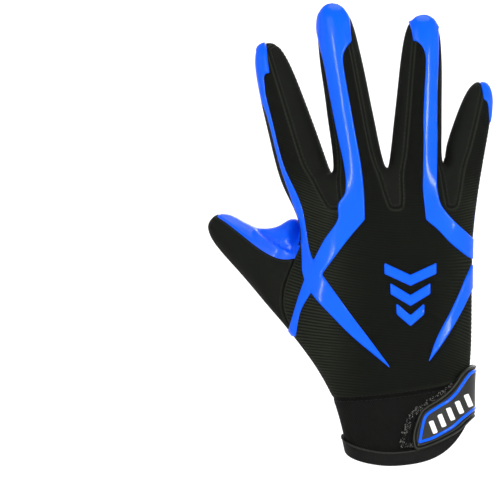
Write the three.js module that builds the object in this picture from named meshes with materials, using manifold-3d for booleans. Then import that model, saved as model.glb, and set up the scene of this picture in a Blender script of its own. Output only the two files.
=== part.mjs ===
// A right-hand receiver's glove, shown as a hand fills it: fingers up, back of the hand towards -Y.
// Millimetres, +Z up. The origin is the middle of the cuff's mouth, where the hand goes in.
// The skin is a cage of quads, smoothed once; each panel is a sheet with the skin's own form.
import * as THREE from "three";
import { mergeVertices } from "three/addons/utils/BufferGeometryUtils.js";
import Module from "manifold-3d";

const wasm = await Module();
wasm.setup();

// Driving sizes of the hand
const palmWidth = 92; // across the back, below the fingers
const palmDepth = 32; // through the hand, below the fingers
const palmHeight = 133; // mouth's centre to the finger crotches
const wristWidth = 64;
const wristDepth = 43;
const cuffHeight = 26; // mouth's centre to the seam on top of the cuff
const indexLength = 70.5;
const indexWidth = 26;
const middleLength = 86.8;
const middleWidth = 24.5;
const ringLength = 78.6;
const ringWidth = 26;
const littleLength = 39.8;
const littleWidth = 21.2;
const thumbWidth = 19;

// Walls, trim and clearances
const meshWall = 1.2;
const palmWall = 1.4;
const cuffWall = 2;
const seamGap = 0.3;
const layGap = 0.3; // between a panel and what lies on it
const overlayThickness = 0.7;
const chevronThickness = 0.8;
const patchThickness = 0.9;
const strapThickness = 1.8;
const strapLineWidth = 1.4;
const strapTrimThickness = 0.4;
const bindingThickness = 1;
const bindingWidth = 5;
const strapMarkWidth = 2.3;
const strapMarkLength = 6.5;
const chevronWidth = 14; // of the lowest one
const chevronGrowth = 6; // how much wider the next one is
const chevronPitch = 10;
const chevronRise = 6; // from the point up to the ends of the arms
const chevronArm = 5.5; // an arm's height
const creaseDepth = 0.9;
const creaseWidth = 3.2;

// Columns of the palm's ring, three to a finger, as shares of its half width: across the back and the palm
const columns = [
  { finger: "index", back: [-0.985, -0.77, -0.54], palm: [-0.8, -0.66, -0.53] },
  { finger: "middle", back: [-0.525, -0.2, 0.11], palm: [-0.49, -0.2, 0.09] },
  { finger: "ring", back: [0.125, 0.42, 0.705], palm: [0.13, 0.4, 0.65] },
  { finger: "little", back: [0.72, 0.87, 0.99], palm: [0.69, 0.78, 0.86] },
];

// The cuff's hem and seam: left and right are shares of wristWidth, the heights of cuffHeight.
// radial and ulnar are heights at the thumb's side and the little finger's, back and palm those between.
const cuffSections = [
  { left: -0.505, right: 0.482, radial: 0.12, ulnar: 0.72, back: -0.44, palm: -0.45, seam: 0 },
  { left: -0.585, right: 0.482, radial: 0.82, ulnar: 1.26, back: 1, palm: 0.78, seam: 1 },
];

const hemRise = 0.15; // towards the little finger's side, from hemLow on, for each half width across
const hemLow = -0.4; // where the hem hangs lowest, across

// The palm's sections: up is a share of palmHeight, left and right of palmWidth, back and front of palmDepth.
// spread is 1 where the columns stand as under the fingers and 0 where they go evenly round the wrist,
// rise lifts the palm's thumb side, where the web runs up to the index finger. thumb marks where it starts
// and ends at the palm's side.
const palmSections = [
  { up: 0.33, left: -0.563, right: 0.358, back: -0.52, front: 0.66, spread: 0.3, rise: 0, thumb: "start" },
  { up: 0.45, left: -0.7, right: 0.365, back: -0.48, front: 0.74, spread: 0.5, rise: 0 },
  { up: 0.57, left: -0.7, right: 0.369, back: -0.46, front: 0.78, spread: 0.7, rise: 0.05 },
  { up: 0.675, left: -0.625, right: 0.37, back: -0.46, front: 0.72, spread: 0.85, rise: 0.46, thumb: "end" },
  { up: 0.76, left: -0.6, right: 0.372, back: -0.47, front: 0.64, spread: 0.95, rise: 0.36 },
  { up: 0.865, left: -0.64, right: 0.388, back: -0.48, front: 0.54, spread: 1, rise: 0 },
];
const thumbRow = (mark) => cuffSections.length + palmSections.findIndex(({ thumb }) => thumb === mark);

// Fingers: rootX and rootY are shares of palmWidth and palmDepth, rootUp of palmHeight; angles in degrees.
// roll turns the back seams round the finger and back is how far apart they stand, as a share of the usual.
// curl is how far the tip bends to the palm as a share of length.
const fingers = {
  index: { rootX: -0.557, rootY: 0.14, rootUp: 0.99, lean: -16.6, roll: -34, back: 0.8, curl: 0.13 },
  middle: { rootX: -0.26, rootY: -0.02, rootUp: 1, lean: -9.5, roll: -7, back: 1, curl: 0.13 },
  ring: { rootX: 0.037, rootY: 0, rootUp: 1.01, lean: 3.5, roll: 15, back: 1, curl: 0.15 },
  little: { rootX: 0.297, rootY: 0.1, rootUp: 1.06, lean: 15, roll: 52, back: 1, curl: 0.2 },
};
const fingerSizes = {
  index: { length: indexLength, width: indexWidth },
  middle: { length: middleLength, width: middleWidth },
  ring: { length: ringLength, width: ringWidth },
  little: { length: littleLength, width: littleWidth },
};
const fingerDepth = 0.86; // a finger's depth as a share of its width

// Each finger's sections: along as a share of its length, width as a share of its width
const fingerSections = {
  index: [
    { along: 0.14, width: 0.98 },
    { along: 0.52, width: 0.86 },
    { along: 0.86, width: 0.72 },
    { along: 0.98, width: 0.43 },
  ],
  middle: [
    { along: 0.14, width: 0.955 },
    { along: 0.54, width: 0.875 },
    { along: 0.88, width: 0.81 },
    { along: 0.98, width: 0.5 },
  ],
  ring: [
    { along: 0.16, width: 0.965 },
    { along: 0.54, width: 0.84 },
    { along: 0.88, width: 0.76 },
    { along: 0.985, width: 0.46 },
  ],
  little: [
    { along: 0.18, width: 0.94 },
    { along: 0.52, width: 0.86 },
    { along: 0.85, width: 0.67 },
    { along: 0.98, width: 0.38 },
  ],
};

// Where the eight points of a finger's ring stand, in degrees from the middle of its back
const backSeam = 43;
const fingerAngles = [-backSeam, 0, backSeam, 82, 122, 180, 238, 278];

// The thumb: each section's middle in shares of palmWidth, palmDepth and palmHeight, its width of thumbWidth.
// web lifts its palm side towards the index finger, in shares of its half width.
const thumbSections = [
  { x: -0.7, y: 0.22, up: 0.61, width: 1.42, web: 2.2 },
  { x: -0.795, y: 0.36, up: 0.667, width: 1.17, web: 0.8 },
  { x: -0.92, y: 0.52, up: 0.751, width: 1.08, web: 0 },
  { x: -1.003, y: 0.64, up: 0.801, width: 0.95, web: 0 },
  { x: -1.052, y: 0.71, up: 0.829, width: 0.58, web: 0 },
];
const thumbAngles = [-66, -38, -12, 14, 72, 120, 165, 205, 240, 268];
const webLift = [0, 0, 0, 0, 0.6, 1, 0.4, 0, 0, 0]; // how much of the web's lift each of them takes

// Creases pressed into the palm: both ends in shares of palmWidth and palmHeight, bow lifts the middle.
// deep and wide are shares of creaseDepth and creaseWidth.
const palmCreases = [
  { x: -0.57, up: 0.68, endX: -0.25, endUp: 0.57, bow: -0.02, deep: 1, wide: 1 },
  { x: -0.25, up: 0.53, endX: -0.74, endUp: 0.61, bow: -0.08, deep: 1.1, wide: 1 },
  { x: -0.6, up: 0.92, endX: -0.42, endUp: 0.95, bow: 0.01, deep: 0.8, wide: 1 },
  { x: -0.36, up: 0.93, endX: -0.1, endUp: 0.95, bow: 0.01, deep: 0.8, wide: 1 },
  { x: -0.05, up: 0.94, endX: 0.16, endUp: 0.94, bow: 0.01, deep: 0.8, wide: 1 },
  { x: 0.2, up: 0.96, endX: 0.37, endUp: 0.93, bow: 0, deep: 0.7, wide: 1 },
  { x: -0.38, up: 0.27, endX: 0.3, endUp: 0.3, bow: -0.02, deep: 0.8, wide: 1.4 },
];

// Raised stripes, each a band between two edges. On a finger the rows go along it in shares of its length,
// with the edges in shares of its half width; on the hand they go up, with the edges in shares of palmWidth.
const indexStripe = [
  { on: "index", at: 1.2, left: -2, right: 0 },
  { on: "index", at: 1, left: -1.6, right: -0.06 },
  { on: "index", at: 0.79, left: -1.4, right: -0.28 },
  { on: "index", at: 0.76, left: -1.4, right: -0.47 },
  { on: "index", at: 0.48, left: -1.4, right: -0.64 },
  { on: "index", at: 0.13, left: -1.4, right: -0.69 },
  { on: "hand", at: 0.902, left: -0.68, right: -0.592 },
  { on: "hand", at: 0.833, left: -0.65, right: -0.565 },
  { on: "hand", at: 0.729, left: -0.62, right: -0.541 },
  { on: "hand", at: 0.677, left: -0.585, right: -0.517 },
  { on: "hand", at: 0.624, left: -0.573, right: -0.47 },
  { on: "hand", at: 0.555, left: -0.53, right: -0.399 },
  { on: "hand", at: 0.462, left: -0.41, right: -0.302 },
  { on: "hand", at: 0.391, left: -0.307, right: -0.224 },
  { on: "hand", at: 0.331, left: -0.204, right: -0.16 },
  { on: "hand", at: 0.274, left: -0.103, right: -0.1 },
];
const middleStripe = [
  { on: "middle", at: 1.2, left: -2, right: 2 },
  { on: "middle", at: 0.96, left: -1.4, right: 0.58 },
  { on: "middle", at: 0.79, left: -1.2, right: 0.6 },
  { on: "middle", at: 0.75, left: -0.77, right: 0.5 },
  { on: "middle", at: 0.72, left: -0.75, right: 0.22 },
  { on: "middle", at: 0.66, left: -0.7, right: 0.08 },
  { on: "middle", at: 0.54, left: -0.64, right: 0.05 },
  { on: "middle", at: 0.25, left: -0.67, right: 0.05 },
  { on: "middle", at: 0.04, left: -0.62, right: 0.06 },
  { on: "hand", at: 0.93, left: -0.345, right: -0.244 },
  { on: "hand", at: 0.885, left: -0.383, right: -0.242 },
  { on: "hand", at: 0.828, left: -0.386, right: -0.24 },
  { on: "hand", at: 0.757, left: -0.454, right: -0.327 },
  { on: "hand", at: 0.686, left: -0.508, right: -0.405 },
  { on: "hand", at: 0.624, left: -0.552, right: -0.47 },
  { on: "hand", at: 0.555, left: -0.59, right: -0.53 },
  { on: "hand", at: 0.485, left: -0.621, right: -0.585 },
  { on: "hand", at: 0.39, left: -0.66, right: -0.612 },
];
const ringStripe = [
  { on: "ring", at: 1.2, left: -0.9, right: 2 },
  { on: "ring", at: 0.96, left: -0.53, right: 1.4 },
  { on: "ring", at: 0.83, left: -0.32, right: 0.9 },
  { on: "ring", at: 0.81, left: -0.05, right: 0.7 },
  { on: "ring", at: 0.74, left: 0.17, right: 0.69 },
  { on: "ring", at: 0.61, left: 0.19, right: 0.72 },
  { on: "ring", at: 0.24, left: 0.23, right: 0.78 },
  { on: "ring", at: 0, left: 0.28, right: 0.82 },
  { on: "hand", at: 0.942, left: 0.074, right: 0.154 },
  { on: "hand", at: 0.883, left: 0.082, right: 0.174 },
  { on: "hand", at: 0.828, left: 0.09, right: 0.237 },
  { on: "hand", at: 0.789, left: 0.157, right: 0.299 },
  { on: "hand", at: 0.75, left: 0.21, right: 0.37 },
  { on: "hand", at: 0.726, left: 0.249, right: 0.45 },
  { on: "hand", at: 0.68, left: 0.35, right: 0.45 },
];
const ulnarStripe = [
  { on: "hand", at: 0.66, left: 0.345, right: 0.45 },
  { on: "hand", at: 0.598, left: 0.301, right: 0.4 },
  { on: "hand", at: 0.57, left: 0.284, right: 0.352 },
  { on: "hand", at: 0.49, left: 0.228, right: 0.291 },
  { on: "hand", at: 0.383, left: 0.146, right: 0.198 },
  { on: "hand", at: 0.298, left: 0.102, right: 0.105 },
];
const littleStripe = [
  { on: "little", at: 1.2, left: -0.3, right: 2 },
  { on: "little", at: 0.96, left: -0.2, right: 2 },
  { on: "little", at: 0.79, left: 0.16, right: 1.6 },
  { on: "little", at: 0.74, left: 0.46, right: 1.6 },
  { on: "little", at: 0.4, left: 0.78, right: 1.6 },
];

// The strap's tab: points of its edge and of the line on it, in shares of wristWidth and cuffHeight
const strapOutline = [
  { x: 0.8, up: 1.75 },
  { x: 0.43, up: 1.4 },
  { x: 0.38, up: 1.3 },
  { x: 0.334, up: 1.13 },
  { x: 0.287, up: 0.985 },
  { x: 0.217, up: 0.84 },
  { x: 0.125, up: 0.695 },
  { x: 0.078, up: 0.595 },
  { x: 0.031, up: 0.295 },
  { x: 0.017, up: 0.09 },
  { x: 0.026, up: -0.1 },
  { x: 0.054, up: -0.15 },
  { x: 0.125, up: -0.105 },
  { x: 0.247, up: 0.025 },
  { x: 0.364, up: 0.195 },
  { x: 0.47, up: 0.44 },
  { x: 0.8, up: 0.8 },
];
const strapLine = [
  { x: 0.8, up: 1.62 },
  { x: 0.46, up: 1.33 },
  { x: 0.387, up: 1.115 },
  { x: 0.347, up: 0.958 },
  { x: 0.287, up: 0.8 },
  { x: 0.206, up: 0.67 },
  { x: 0.125, up: 0.527 },
  { x: 0.101, up: 0.4 },
  { x: 0.07, up: 0.01 },
  { x: 0.159, up: 0.08 },
  { x: 0.247, up: 0.196 },
  { x: 0.311, up: 0.296 },
  { x: 0.387, up: 0.47 },
  { x: 0.49, up: 0.65 },
  { x: 0.8, up: 0.9 },
];
const patchOutline = [
  { x: 0.35, up: 0.95 },
  { x: 0.12, up: 0.63 },
  { x: 0.005, up: 0.477 },
  { x: -0.033, up: 0.338 },
  { x: -0.069, up: 0.127 },
  { x: -0.08, up: -0.05 },
  { x: -0.07, up: -0.13 },
  { x: 0.12, up: -0.03 },
  { x: 0.3, up: 0.2 },
  { x: 0.35, up: 0.3 },
];

// Slanted bars along the strap: middle of the first and the last, in shares of wristWidth and cuffHeight
const strapMarks = { count: 5, x: 0.17, up: 0.29, endX: 0.42, endUp: 0.78, slant: -20 };

// Chevrons on the back: where the lowest one's point is, in shares of palmWidth and palmHeight
const chevrons = { count: 3, x: 0.006, up: 0.43 };

const degrees = Math.PI / 180;
const mix = (a, b, t) => a + (b - a) * t;
const point = (x, y, z) => new THREE.Vector3(x, y, z);
const average = (list) => list.reduce((sum, p) => sum.add(p), point(0, 0, 0)).divideScalar(list.length);

// Where a section stands across (-1 to 1) on its back (-1) or its palm side (1), and how far it bulges there
function sectionPoint({ left, right, back, front }, across, side) {
  const roundness = 2.5;
  const bulge = (1 - Math.abs(across) ** roundness) ** (1 / roundness);
  const middle = (back + front) / 2;
  const reach = side < 0 ? back - middle : front - middle;
  return { x: mix(left, right, (across + 1) / 2), y: middle + reach * bulge, bulge };
}

// The ring's 26 places: twelve across the back, one at the side, twelve back across the palm, one at the side
const wristBack = (j) => Math.sin((-80 + (168 / 11) * j) * degrees);
const wristPalm = (j) => Math.sin((-140 - (82 / 11) * j) * degrees);
const sideAcross = 0.93;
const backShares = columns.flatMap((c) => c.back);
const palmShares = columns.flatMap((c) => c.palm);

function ringPlaces(spread) {
  const back = backShares.map((share, j) => ({ across: mix(wristBack(j), share, spread), side: -1 }));
  const palm = palmShares.map((share, j) => ({ across: mix(wristPalm(j), share, spread), side: 1 }));
  return [...back, { across: sideAcross, side: 1 }, ...palm.reverse(), { across: -sideAcross, side: 1 }];
}

function palmRing(section) {
  const scaled = {
    left: section.left * palmWidth,
    right: section.right * palmWidth,
    back: section.back * palmDepth,
    front: section.front * palmDepth,
  };
  return ringPlaces(section.spread).map(({ across, side }) => {
    const { x, y, bulge } = sectionPoint(scaled, across, side);
    const lifted = side > 0 && across < 0 ? section.rise * (bulge * across) ** 2 : 0;
    return point(x, y, (section.up + lifted) * palmHeight);
  });
}

// The hem hangs in a U between its sides; the seam above it runs straighter
function cuffRing(section, straight) {
  const scaled = {
    left: section.left * wristWidth,
    right: section.right * wristWidth,
    back: -wristDepth / 2,
    front: wristDepth / 2,
  };
  return ringPlaces(0).map(({ across, side }) => {
    const { x, y, bulge } = sectionPoint(scaled, across, side);
    const toUlnar = (across + 1) / 2;
    const atSide = mix(section.radial, section.ulnar, toUlnar);
    const tilt = (1 - section.seam) * hemRise * Math.max(0, across - hemLow);
    const facing = tilt + (side > 0 ? section.palm : section.back + section.seam * (atSide - section.back));
    const sharpness = side > 0 ? mix(1.8, 1.4, toUlnar) : mix(0.6, 1.9, toUlnar);
    const up = straight ? section.palm : mix(atSide, facing, bulge ** sharpness);
    return point(x, y, up * cuffHeight);
  });
}

function fingerFrame(name) {
  const f = fingers[name];
  const lean = f.lean * degrees;
  return {
    ...f,
    ...fingerSizes[name],
    root: point(f.rootX * palmWidth, f.rootY * palmDepth, f.rootUp * palmHeight),
    axis: point(Math.sin(lean), 0, Math.cos(lean)),
    across: point(Math.cos(lean), 0, -Math.sin(lean)),
  };
}

function fingerMiddle({ root, axis, length, curl }, along) {
  const middle = root.clone().addScaledVector(axis, along * length);
  middle.y += curl * length * along ** 2;
  return middle;
}

// Smoothing draws a ring of n points in by this much
const cageGrowth = (n) => 6 / (4 + 2 * Math.cos((2 * Math.PI) / n));

function fingerRing(name, { along, width }) {
  const frame = fingerFrame(name);
  const middle = fingerMiddle(frame, along);
  const half = (frame.width * width * cageGrowth(fingerAngles.length)) / 2;
  return fingerAngles.map((angle) => {
    const share = Math.abs(angle) > backSeam ? 1 : frame.back;
    const turn = (angle * share + frame.roll) * degrees;
    const p = middle.clone().addScaledVector(frame.across, half * Math.sin(turn));
    p.y -= half * fingerDepth * Math.cos(turn);
    return p;
  });
}

const thumbMiddle = ({ x, y, up }) => point(x * palmWidth, y * palmDepth, up * palmHeight);

function thumbRing(index) {
  const section = thumbSections[index];
  const next = thumbSections[Math.min(index + 1, thumbSections.length - 1)];
  const last = thumbSections[Math.max(index - 1, 0)];
  const axis = thumbMiddle(next).sub(thumbMiddle(last)).normalize();
  const web = axis.clone().cross(point(0, -1, 0)).normalize(); // towards the index finger
  const back = web.clone().cross(axis).normalize();
  const half = (thumbWidth * section.width * cageGrowth(thumbAngles.length)) / 2;
  return thumbAngles.map((angle, i) => {
    const p = thumbMiddle(section)
      .addScaledVector(web, half * Math.sin(angle * degrees))
      .addScaledVector(back, half * Math.cos(angle * degrees));
    p.z += half * section.web * webLift[i];
    return p;
  });
}

// The cage: points, and quads that each belong to a panel. trim marks what the raised stripes may lie on.
function buildCage(straightHem) {
  const points = [];
  const quads = [];
  const add = (p) => points.push(p) - 1;
  const addRing = (ring) => ring.map(add);
  const addQuad = (corners, panel, marks = {}) => quads.push({ corners, panel, ...marks });

  const rows = cuffSections.map((section, i) => addRing(cuffRing(section, straightHem && i === 0)));
  rows.push(...palmSections.map((section) => addRing(palmRing(section))));

  // The top row is the four fingers' first rings
  const names = columns.map((c) => c.finger);
  const rootRing = (name) => addRing(fingerRing(name, { along: 0, width: 1 }));
  const roots = Object.fromEntries(names.map((name) => [name, rootRing(name)]));
  const rootBack = names.flatMap((n) => roots[n].slice(0, 3));
  const rootPalm = names.flatMap((n) => [roots[n][6], roots[n][5], roots[n][4]]);
  rows.push([...rootBack, roots.little[3], ...rootPalm.reverse(), roots.index[7]]);

  const count = rows[0].length;
  const gapColumns = [2, 5, 8];
  const low = thumbRow("start");
  const high = thumbRow("end");
  const thumbQuads = [];
  for (let r = 0; r + 1 < rows.length; r++)
    for (let k = 0; k < count; k++) {
      const next = (k + 1) % count;
      const corners = [rows[r][k], rows[r][next], rows[r + 1][next], rows[r + 1][k]];
      const onBack = k < backShares.length - 1;
      const atThumb = k >= count - 2;
      let panel = onBack ? "back_panel" : "palm_panel";
      if (r === 0) panel = onBack ? "cuff_back" : "cuff_palm";
      else if (atThumb && r < low) panel = "thumb_back";
      else if (r === rows.length - 2 && gapColumns.includes(k)) panel = "gap" + gapColumns.indexOf(k);
      const trim = panel === "back_panel" || (panel === "thumb_back" && k === count - 1);
      if (atThumb && r >= low && r < high) thumbQuads.push(corners);
      else addQuad(corners, panel, { trim, row: r, column: k });
    }

  // The crotches, between one finger's near side and the next one's
  for (let g = 0; g < 3; g++) {
    const [a, b] = [roots[names[g]], roots[names[g + 1]]];
    addQuad([a[2], b[0], b[7], a[3]], "gap" + g);
    addQuad([a[3], b[7], b[6], a[4]], "gap" + g);
  }

  // A tube of rings on an opening, closed by the quads that the opening lost
  function tube(opening, base, rings, panelOf, inner) {
    const all = [base, ...rings.map(addRing)];
    for (let r = 0; r + 1 < all.length; r++)
      for (let k = 0; k < base.length; k++) {
        const next = (k + 1) % base.length;
        const { panel, trim } = panelOf(k, r);
        addQuad([all[r][k], all[r][next], all[r + 1][next], all[r + 1][k]], panel, { trim });
      }
    const top = new Map(base.map((p, k) => [p, all.at(-1)[k]]));
    for (const [p, where] of inner) top.set(p, add(where));
    for (const { corners, panel } of opening)
      addQuad(corners.map((p) => top.get(p)), panel, { trim: panel === "back_panel" });
  }

  names.forEach((name, n) => {
    const base = roots[name];
    const centre = add(point(0, 0, 0));
    const [bl, bc, br, sr, pr, pc, pl, sl] = base;
    const opening = [
      { corners: [bl, bc, centre, sl], panel: "back_panel" },
      { corners: [bc, br, sr, centre], panel: "back_panel" },
      { corners: [centre, sr, pr, pc], panel: "palm_panel" },
      { corners: [sl, centre, pc, pl], panel: "palm_panel" },
    ];
    const sections = fingerSections[name];
    const panelOf = (k, r) => {
      if (k < 2) return { panel: "back_panel", trim: true };
      if (k === 4 || k === 5) return { panel: "palm_panel", trim: false };
      const gap = k < 4 ? n : n - 1;
      if (gap < 0 || gap > 2) return { panel: "palm_panel", trim: false };
      const nearBack = k === 2 || k === 7;
      return { panel: "gap" + gap, trim: nearBack && r === sections.length - 1 };
    };
    const tip = fingerMiddle(fingerFrame(name), 1.035);
    tube(opening, base, sections.map((s) => fingerRing(name, s)), panelOf, [[centre, tip]]);
  });

  // The thumb, on the opening at the side of the palm
  const side = (r, k) => rows[r][(k + count) % count];
  const upwards = Array.from({ length: high - low + 1 }, (_, i) => low + i);
  const base = [...upwards.map((r) => side(r, 0)), side(high, -1)];
  base.push(...upwards.reverse().map((r) => side(r, -2)), side(low, -1));
  const onBack = (corners) => upwards.some((r) => corners.includes(side(r, 0)));
  const panelAt = (corners) => (onBack(corners) ? "thumb_back" : "palm_panel");
  const opening = thumbQuads.map((corners) => ({ corners, panel: panelAt(corners) }));
  const last = thumbRing(thumbSections.length - 1);
  const [end, before] = [thumbMiddle(thumbSections.at(-1)), thumbMiddle(thumbSections.at(-2))];
  const bulge = end.clone().sub(before).multiplyScalar(0.35);
  const inner = [
    [side(low + 1, -1), average([last[1], last[7]]).add(bulge)],
    [side(low + 2, -1), average([last[2], last[6]]).add(bulge)],
  ];
  const thumbPanel = (k, r) => {
    const black = k < 3 || k > 7;
    return { panel: black ? "thumb_back" : "palm_panel", trim: k < 3 && r === 0 };
  };
  tube(opening, base, thumbSections.map((_, i) => thumbRing(i)), thumbPanel, inner);
  return { points, quads };
}

// One step of Catmull-Clark subdivision
function smooth({ points, quads }) {
  const keyOf = (a, b) => (a < b ? `${a},${b}` : `${b},${a}`);
  const facePoints = quads.map(({ corners }) => average(corners.map((c) => points[c])));
  const edges = new Map();
  const around = points.map(() => ({ faces: [], edges: [] }));
  quads.forEach(({ corners }, f) =>
    corners.forEach((a, i) => {
      const b = corners[(i + 1) % 4];
      if (!edges.has(keyOf(a, b))) edges.set(keyOf(a, b), { ends: [a, b], faces: [] });
      edges.get(keyOf(a, b)).faces.push(f);
      around[a].faces.push(f);
    }),
  );
  for (const edge of edges.values()) edge.ends.forEach((c) => around[c].edges.push(edge));

  const made = points.map((p, i) => {
    const { faces, edges: mine } = around[i];
    if (!faces.length) return p.clone();
    const middles = mine.map(({ ends: [a, b] }) => average([points[a], points[b]]));
    const open = middles.filter((_, k) => mine[k].faces.length === 1);
    if (open.length) return p.clone().multiplyScalar(0.5).addScaledVector(average(open), 0.5);
    return average(faces.map((f) => facePoints[f]))
      .addScaledVector(average(middles), 2)
      .addScaledVector(p, mine.length - 3)
      .divideScalar(mine.length);
  });
  const edgePoints = new Map();
  for (const [key, { ends, faces }] of edges) {
    const parts = ends.map((c) => points[c]);
    if (faces.length === 2) parts.push(...faces.map((f) => facePoints[f]));
    edgePoints.set(key, made.push(average(parts)) - 1);
  }
  const finer = quads.flatMap((quad, f) => {
    const centre = made.push(facePoints[f]) - 1;
    const mid = quad.corners.map((a, i) => edgePoints.get(keyOf(a, quad.corners[(i + 1) % 4])));
    return quad.corners.map((a, i) => ({ ...quad, corners: [a, mid[i], centre, mid[(i + 3) % 4]] }));
  });
  return { points: made, quads: finer };
}

// Moves every point of a smoothed net onto the surface that more smoothing would reach
function toLimit({ points, quads }) {
  const near = points.map(() => ({ opposite: [], neighbours: new Map() }));
  for (const { corners } of quads)
    corners.forEach((a, i) => {
      near[a].opposite.push(corners[(i + 2) % 4]);
      for (const b of [corners[(i + 1) % 4], corners[(i + 3) % 4]])
        near[a].neighbours.set(b, (near[a].neighbours.get(b) ?? 0) + 1);
    });
  const moved = points.map((p, i) => {
    const { opposite, neighbours } = near[i];
    const n = neighbours.size;
    if (!n) return p;
    const open = [...neighbours].filter(([, uses]) => uses === 1).map(([b]) => points[b]);
    if (open.length) return p.clone().multiplyScalar(4).add(open[0]).add(open[1]).divideScalar(6);
    const total = p.clone().multiplyScalar(n * n);
    for (const b of neighbours.keys()) total.addScaledVector(points[b], 4);
    for (const b of opposite) total.add(points[b]);
    return total.divideScalar(n * (n + 5));
  });
  return { points: moved, quads };
}

function withNormals({ points, quads }) {
  const normals = points.map(() => point(0, 0, 0));
  for (const { corners } of quads) {
    const [a, b, c, d] = corners.map((i) => points[i]);
    const normal = c.clone().sub(a).cross(d.clone().sub(b));
    for (const i of corners) normals[i].add(normal);
  }
  normals.forEach((n) => n.normalize());
  return { points, quads, normals };
}

// Presses the creases into the palm's side
function crease(skin) {
  const rows = palmCreases.map((c) => {
    const start = new THREE.Vector2(c.x * palmWidth, c.up * palmHeight);
    const end = new THREE.Vector2(c.endX * palmWidth, c.endUp * palmHeight);
    const middle = start.clone().add(end).divideScalar(2);
    middle.y += 2 * c.bow * palmHeight;
    const samples = new THREE.QuadraticBezierCurve(start, middle, end).getPoints(12);
    return { samples, deep: c.deep * creaseDepth, wide: c.wide * creaseWidth };
  });
  const points = skin.points.map((p, i) => {
    const facing = Math.max(0, skin.normals[i].y);
    const here = new THREE.Vector2(p.x, p.z);
    let depth = 0;
    for (const { samples, deep, wide } of rows) {
      const away = Math.min(...samples.map((s) => s.distanceTo(here)));
      depth = Math.max(depth, deep * Math.exp(-((away / wide) ** 2)));
    }
    return p.clone().addScaledVector(skin.normals[i], -depth * facing);
  });
  return withNormals({ points, quads: skin.quads });
}

const skin = crease(withNormals(toLimit(smooth(buildCage(false)))));
const wristSkin = withNormals(toLimit(smooth(buildCage(true)))); // the same wrist with no notches in its hem

// The edges that belong to one quad of a group only, in their order
function rimOf(quads) {
  const edges = new Map();
  for (const { corners } of quads)
    corners.forEach((a, i) => edges.set(`${a},${corners[(i + 1) % 4]}`, [a, corners[(i + 1) % 4]]));
  return [...edges.values()].filter(([a, b]) => !edges.has(`${b},${a}`));
}

// A closed sheet over some of a skin's quads, from one height above the skin to another, drawn in at its edge
function sheet({ points, normals }, quads, from, to, drawnIn) {
  const rim = rimOf(quads);
  const inwards = new Map();
  for (const [a, b] of rim)
    for (const i of [a, b]) {
      const along = points[b].clone().sub(points[a]);
      const inward = normals[i].clone().cross(along).normalize();
      inwards.set(i, [...(inwards.get(i) ?? []), inward]);
    }
  const index = new Map();
  const positions = [];
  for (const i of new Set(quads.flatMap(({ corners }) => corners))) {
    index.set(i, 2 * index.size);
    const p = points[i].clone();
    if (inwards.has(i)) {
      const inward = average(inwards.get(i)).normalize();
      p.addScaledVector(inward, drawnIn / Math.max(0.5, inward.dot(inwards.get(i)[0])));
    }
    for (const height of [to, from]) positions.push(...p.clone().addScaledVector(normals[i], height));
  }
  const triangles = [];
  for (const { corners } of quads) {
    const [a, b, c, d] = corners.map((i) => index.get(i));
    triangles.push(a, b, c, a, c, d, a + 1, c + 1, b + 1, a + 1, d + 1, c + 1);
  }
  for (const [i, j] of rim) {
    const [a, b] = [index.get(i), index.get(j)];
    triangles.push(a, a + 1, b + 1, a, b + 1, b);
  }
  return geometryFrom(positions, triangles);
}

function geometryFrom(positions, triangles) {
  const geometry = new THREE.BufferGeometry();
  geometry.setAttribute("position", new THREE.Float32BufferAttribute(positions, 3));
  geometry.setIndex([...triangles]);
  return geometry;
}

function solidOf(geometry) {
  const bare = geometry.clone();
  bare.deleteAttribute("normal");
  bare.deleteAttribute("uv");
  const merged = mergeVertices(bare, 1e-4);
  const vertProperties = new Float32Array(merged.attributes.position.array);
  const triVerts = new Uint32Array(merged.index.array);
  return new wasm.Manifold(new wasm.Mesh({ numProp: 3, vertProperties, triVerts }));
}

function geometryOf(solid) {
  const { vertProperties, triVerts } = solid.getMesh();
  return geometryFrom(vertProperties, triVerts);
}

// An outline in X and Z, as a block that cuts through the whole depth of the hand
function cutter(outline) {
  const reach = 2 * Math.max(palmDepth, wristDepth);
  const settings = { depth: 2 * reach, bevelEnabled: false };
  const block = new THREE.ExtrudeGeometry(new THREE.Shape(outline), settings);
  block.rotateX(90 * degrees);
  block.translate(0, reach, 0);
  return solidOf(block);
}

function trimPiece(base, outlines) {
  const cutters = outlines.map(cutter);
  const whole = cutters.reduce((sum, next) => sum.add(next));
  return geometryOf(solidOf(base).intersect(whole));
}

function stripeOutline(rows) {
  const place = ({ on, at }, across) => {
    if (on === "hand") return new THREE.Vector2(across * palmWidth, at * palmHeight);
    const { root, axis, across: wide, length, width } = fingerFrame(on);
    const p = root.clone().addScaledVector(axis, at * length).addScaledVector(wide, (across * width) / 2);
    return new THREE.Vector2(p.x, p.z);
  };
  const left = rows.map((row) => place(row, row.left));
  const right = rows.map((row) => place(row, row.right));
  return [...left, ...right.reverse()];
}

const onWrist = ({ x, up }) => new THREE.Vector2(x * wristWidth, up * cuffHeight);

// A line of even width through some points, as an outline
function lineOutline(path, width) {
  const sides = path.map((p, i) => {
    const before = path[Math.max(i - 1, 0)];
    const after = path[Math.min(i + 1, path.length - 1)];
    const [into, out] = [p.clone().sub(before), after.clone().sub(p)].map((v) => v.normalize());
    const along = into.clone().add(out).normalize();
    const across = new THREE.Vector2(-along.y, along.x);
    const turn = Math.max(0.4, Math.abs(along.dot(i ? into : out)));
    return across.multiplyScalar(width / 2 / turn);
  });
  const left = path.map((p, i) => p.clone().add(sides[i]));
  const right = path.map((p, i) => p.clone().sub(sides[i]));
  return [...left, ...right.reverse()];
}

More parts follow.
